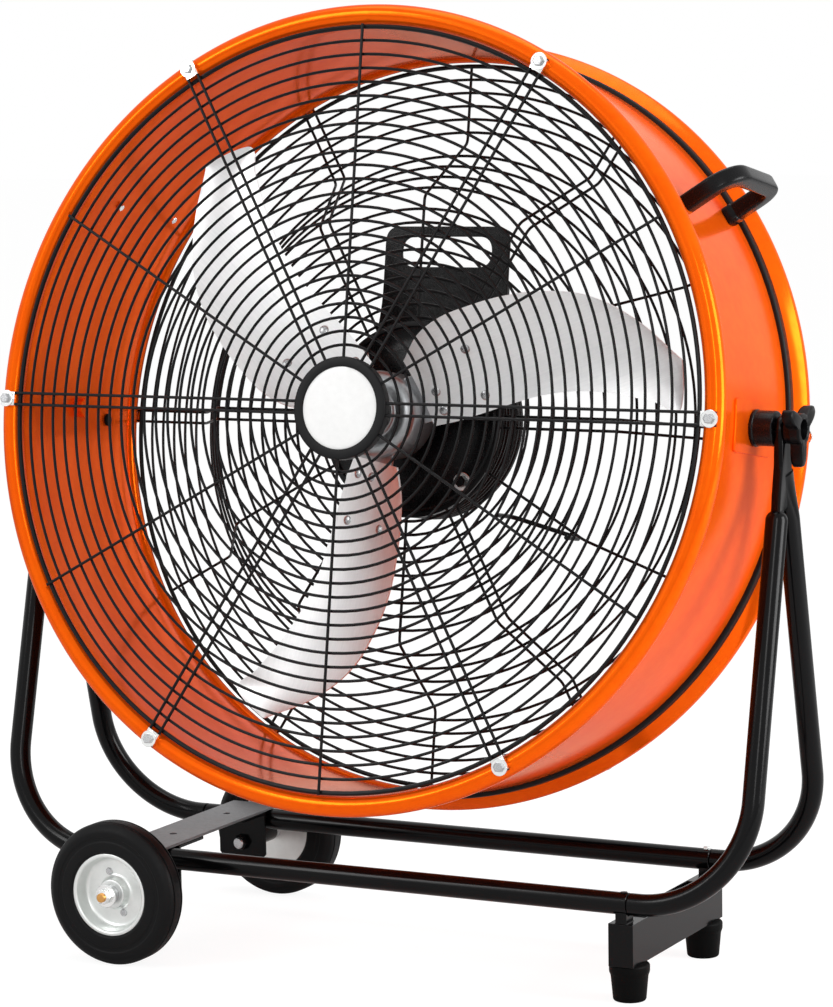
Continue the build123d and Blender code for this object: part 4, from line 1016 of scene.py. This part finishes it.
wheel_parts = [("tyre", [turned(tyre_profile, 160)], TYRE, "tyre", "tyre"),
               ("disc", [turned(disc_profile, 128)], PRESSED, "zinc_plate", "rim"),
               ("disc_screws", [around(plug, a) for a in (111, -69)], STEEL, "bright_steel", None),
               ("bush", [turned(bush_profile, 32)], STEEL, "bright_steel", "bush")]
for side, word in ((-1, "front"), (1, "rear")):
    for name, surfaces, material, slot, node in wheel_parts:
        surfaces = [moved(s, y=wheel_y) for s in surfaces]
        surfaces = surfaces if side > 0 else [flipped(s, 1) for s in surfaces]
        piece(f"{word}_{name}", f"{word}_wheel", at_axle(surfaces), material,
              [f"{word}_wheel_{node}"] if node else ())

# %% [markdown]
# ## Studio
# Two narrow lamps in front draw crisp lines on enamel and tube, and a large one at the right and one above fill
# the side and the top. The background is white to the camera and to reflections, while the light on the object
# comes from the lamps and a grey sky at a plain level.


# %% Lamps, sky and floor
def lamp(name, at, aim, size, power):
    data = bpy.data.lights.new(name, "AREA")
    data.shape, data.size, data.size_y, data.energy = "RECTANGLE", size[0], size[1], power
    obj = bpy.data.objects.new(name, data)
    obj.location = at
    away = unit(np.array(at, float) - np.array(aim, float))
    side = unit(np.cross((0, 0, 1), away))
    obj.rotation_euler = Matrix(np.stack([side, np.cross(away, side), away], 1).tolist()).to_euler()
    bpy.context.scene.collection.objects.link(obj)


lamp("key", (-1.6, -2.4, 2.0), (0, 0, 0.45), (0.5, 1.5), 23)
lamp("front", (1.7, -2.8, 1.6), (0, 0, 0.45), (0.5, 1.5), 18)
lamp("right", (2.7, 0.3, 1.1), (0.2, 0, 0.5), (1.3, 1.7), 70)
lamp("top", (-0.2, 0.2, 2.6), (0, 0, 0.5), (1.8, 1.2), 17)

world = bpy.data.worlds.new("studio")
bpy.context.scene.world = world
tree = cleared(world)
ray = add(tree, "ShaderNodeLightPath")
shown = add(tree, "ShaderNodeMath", {0: ray.outputs["Is Camera Ray"], 1: ray.outputs["Is Glossy Ray"]},
            operation="MAXIMUM")
shown = add(tree, "ShaderNodeMath", {0: shown.outputs[0], 1: ray.outputs["Is Transmission Ray"]}, operation="MAXIMUM")
sky = add(tree, "ShaderNodeBackground", Color=(1, 1, 1, 1), Strength=0.5)
white = add(tree, "ShaderNodeBackground", Color=(1, 1, 1, 1), Strength=1.0)
mixed = add(tree, "ShaderNodeMixShader", {0: shown.outputs[0], 1: sky.outputs[0], 2: white.outputs[0]})
add(tree, "ShaderNodeOutputWorld", {"Surface": mixed.outputs[0]})

floor_mesh = bpy.data.meshes.new("floor")
floor_mesh.from_pydata([(-30, -30, 0), (30, -30, 0), (30, 30, 0), (-30, 30, 0)], [], [(0, 1, 2, 3)])
floor = bpy.data.objects.new("floor", floor_mesh)
bpy.context.scene.collection.objects.link(floor)
paper = bpy.data.materials.new("white_paper_sweep")
tree = cleared(paper)
ray = add(tree, "ShaderNodeLightPath")
part_way = add(tree, "ShaderNodeMath", {0: ray.outputs["Is Camera Ray"]}, operation="MULTIPLY")
part_way.inputs[1].default_value = 0.75
matt = add(tree, "ShaderNodeBsdfDiffuse", Color=(0.86, 0.86, 0.86, 1))
glow = add(tree, "ShaderNodeEmission", Color=(1, 1, 1, 1), Strength=1.18)
mixed = add(tree, "ShaderNodeMixShader", {0: part_way.outputs[0], 1: matt.outputs[0], 2: glow.outputs[0]})
add(tree, "ShaderNodeOutputMaterial", {"Surface": mixed.outputs[0]})
floor_mesh.materials.append(paper)
print("stage set")

# %% [markdown]
# ## Camera
# The camera was fitted to shared points: rims, pivot, rails, wheels and feet. It looks along a direction given
# by its turn and height, rolls slightly, and its focal length is in pixels of the picture.

# %% Camera
TURN, HEIGHT, ROLL = 0.4704703, 0.1154342, -0.0156636
FOCAL_PX, SHIFT_X_PX, SHIFT_Y_PX = 3386.499, 7.0288, -2.3953
TALL_PX = 1007
place = np.array([1333.976, -2576.964, 730.396]) * MM
look = np.array([-math.sin(TURN) * math.cos(HEIGHT), math.cos(TURN) * math.cos(HEIGHT), -math.sin(HEIGHT)])
right = np.array([math.cos(TURN), math.sin(TURN), 0])
up = np.cross(right, look)
right, up = (math.cos(ROLL) * right + math.sin(ROLL) * up, math.cos(ROLL) * up - math.sin(ROLL) * right)
data = bpy.data.cameras.new("camera")
camera = bpy.data.objects.new("camera", data)
bpy.context.scene.collection.objects.link(camera)
turn = np.eye(4)
turn[:3, 0], turn[:3, 1], turn[:3, 2], turn[:3, 3] = right, up, -look, place
camera.matrix_world = Matrix(turn.tolist())
data.sensor_fit, data.sensor_height, data.sensor_width = "VERTICAL", 36.0, 36.0
data.lens = FOCAL_PX / TALL_PX * 36
data.shift_x, data.shift_y = -SHIFT_X_PX / TALL_PX, SHIFT_Y_PX / TALL_PX
data.clip_start, data.clip_end = 0.1, 100
bpy.context.scene.camera = camera
bpy.context.scene.view_settings.view_transform = "Standard"
print("lens", round(data.lens, 2), "mm")
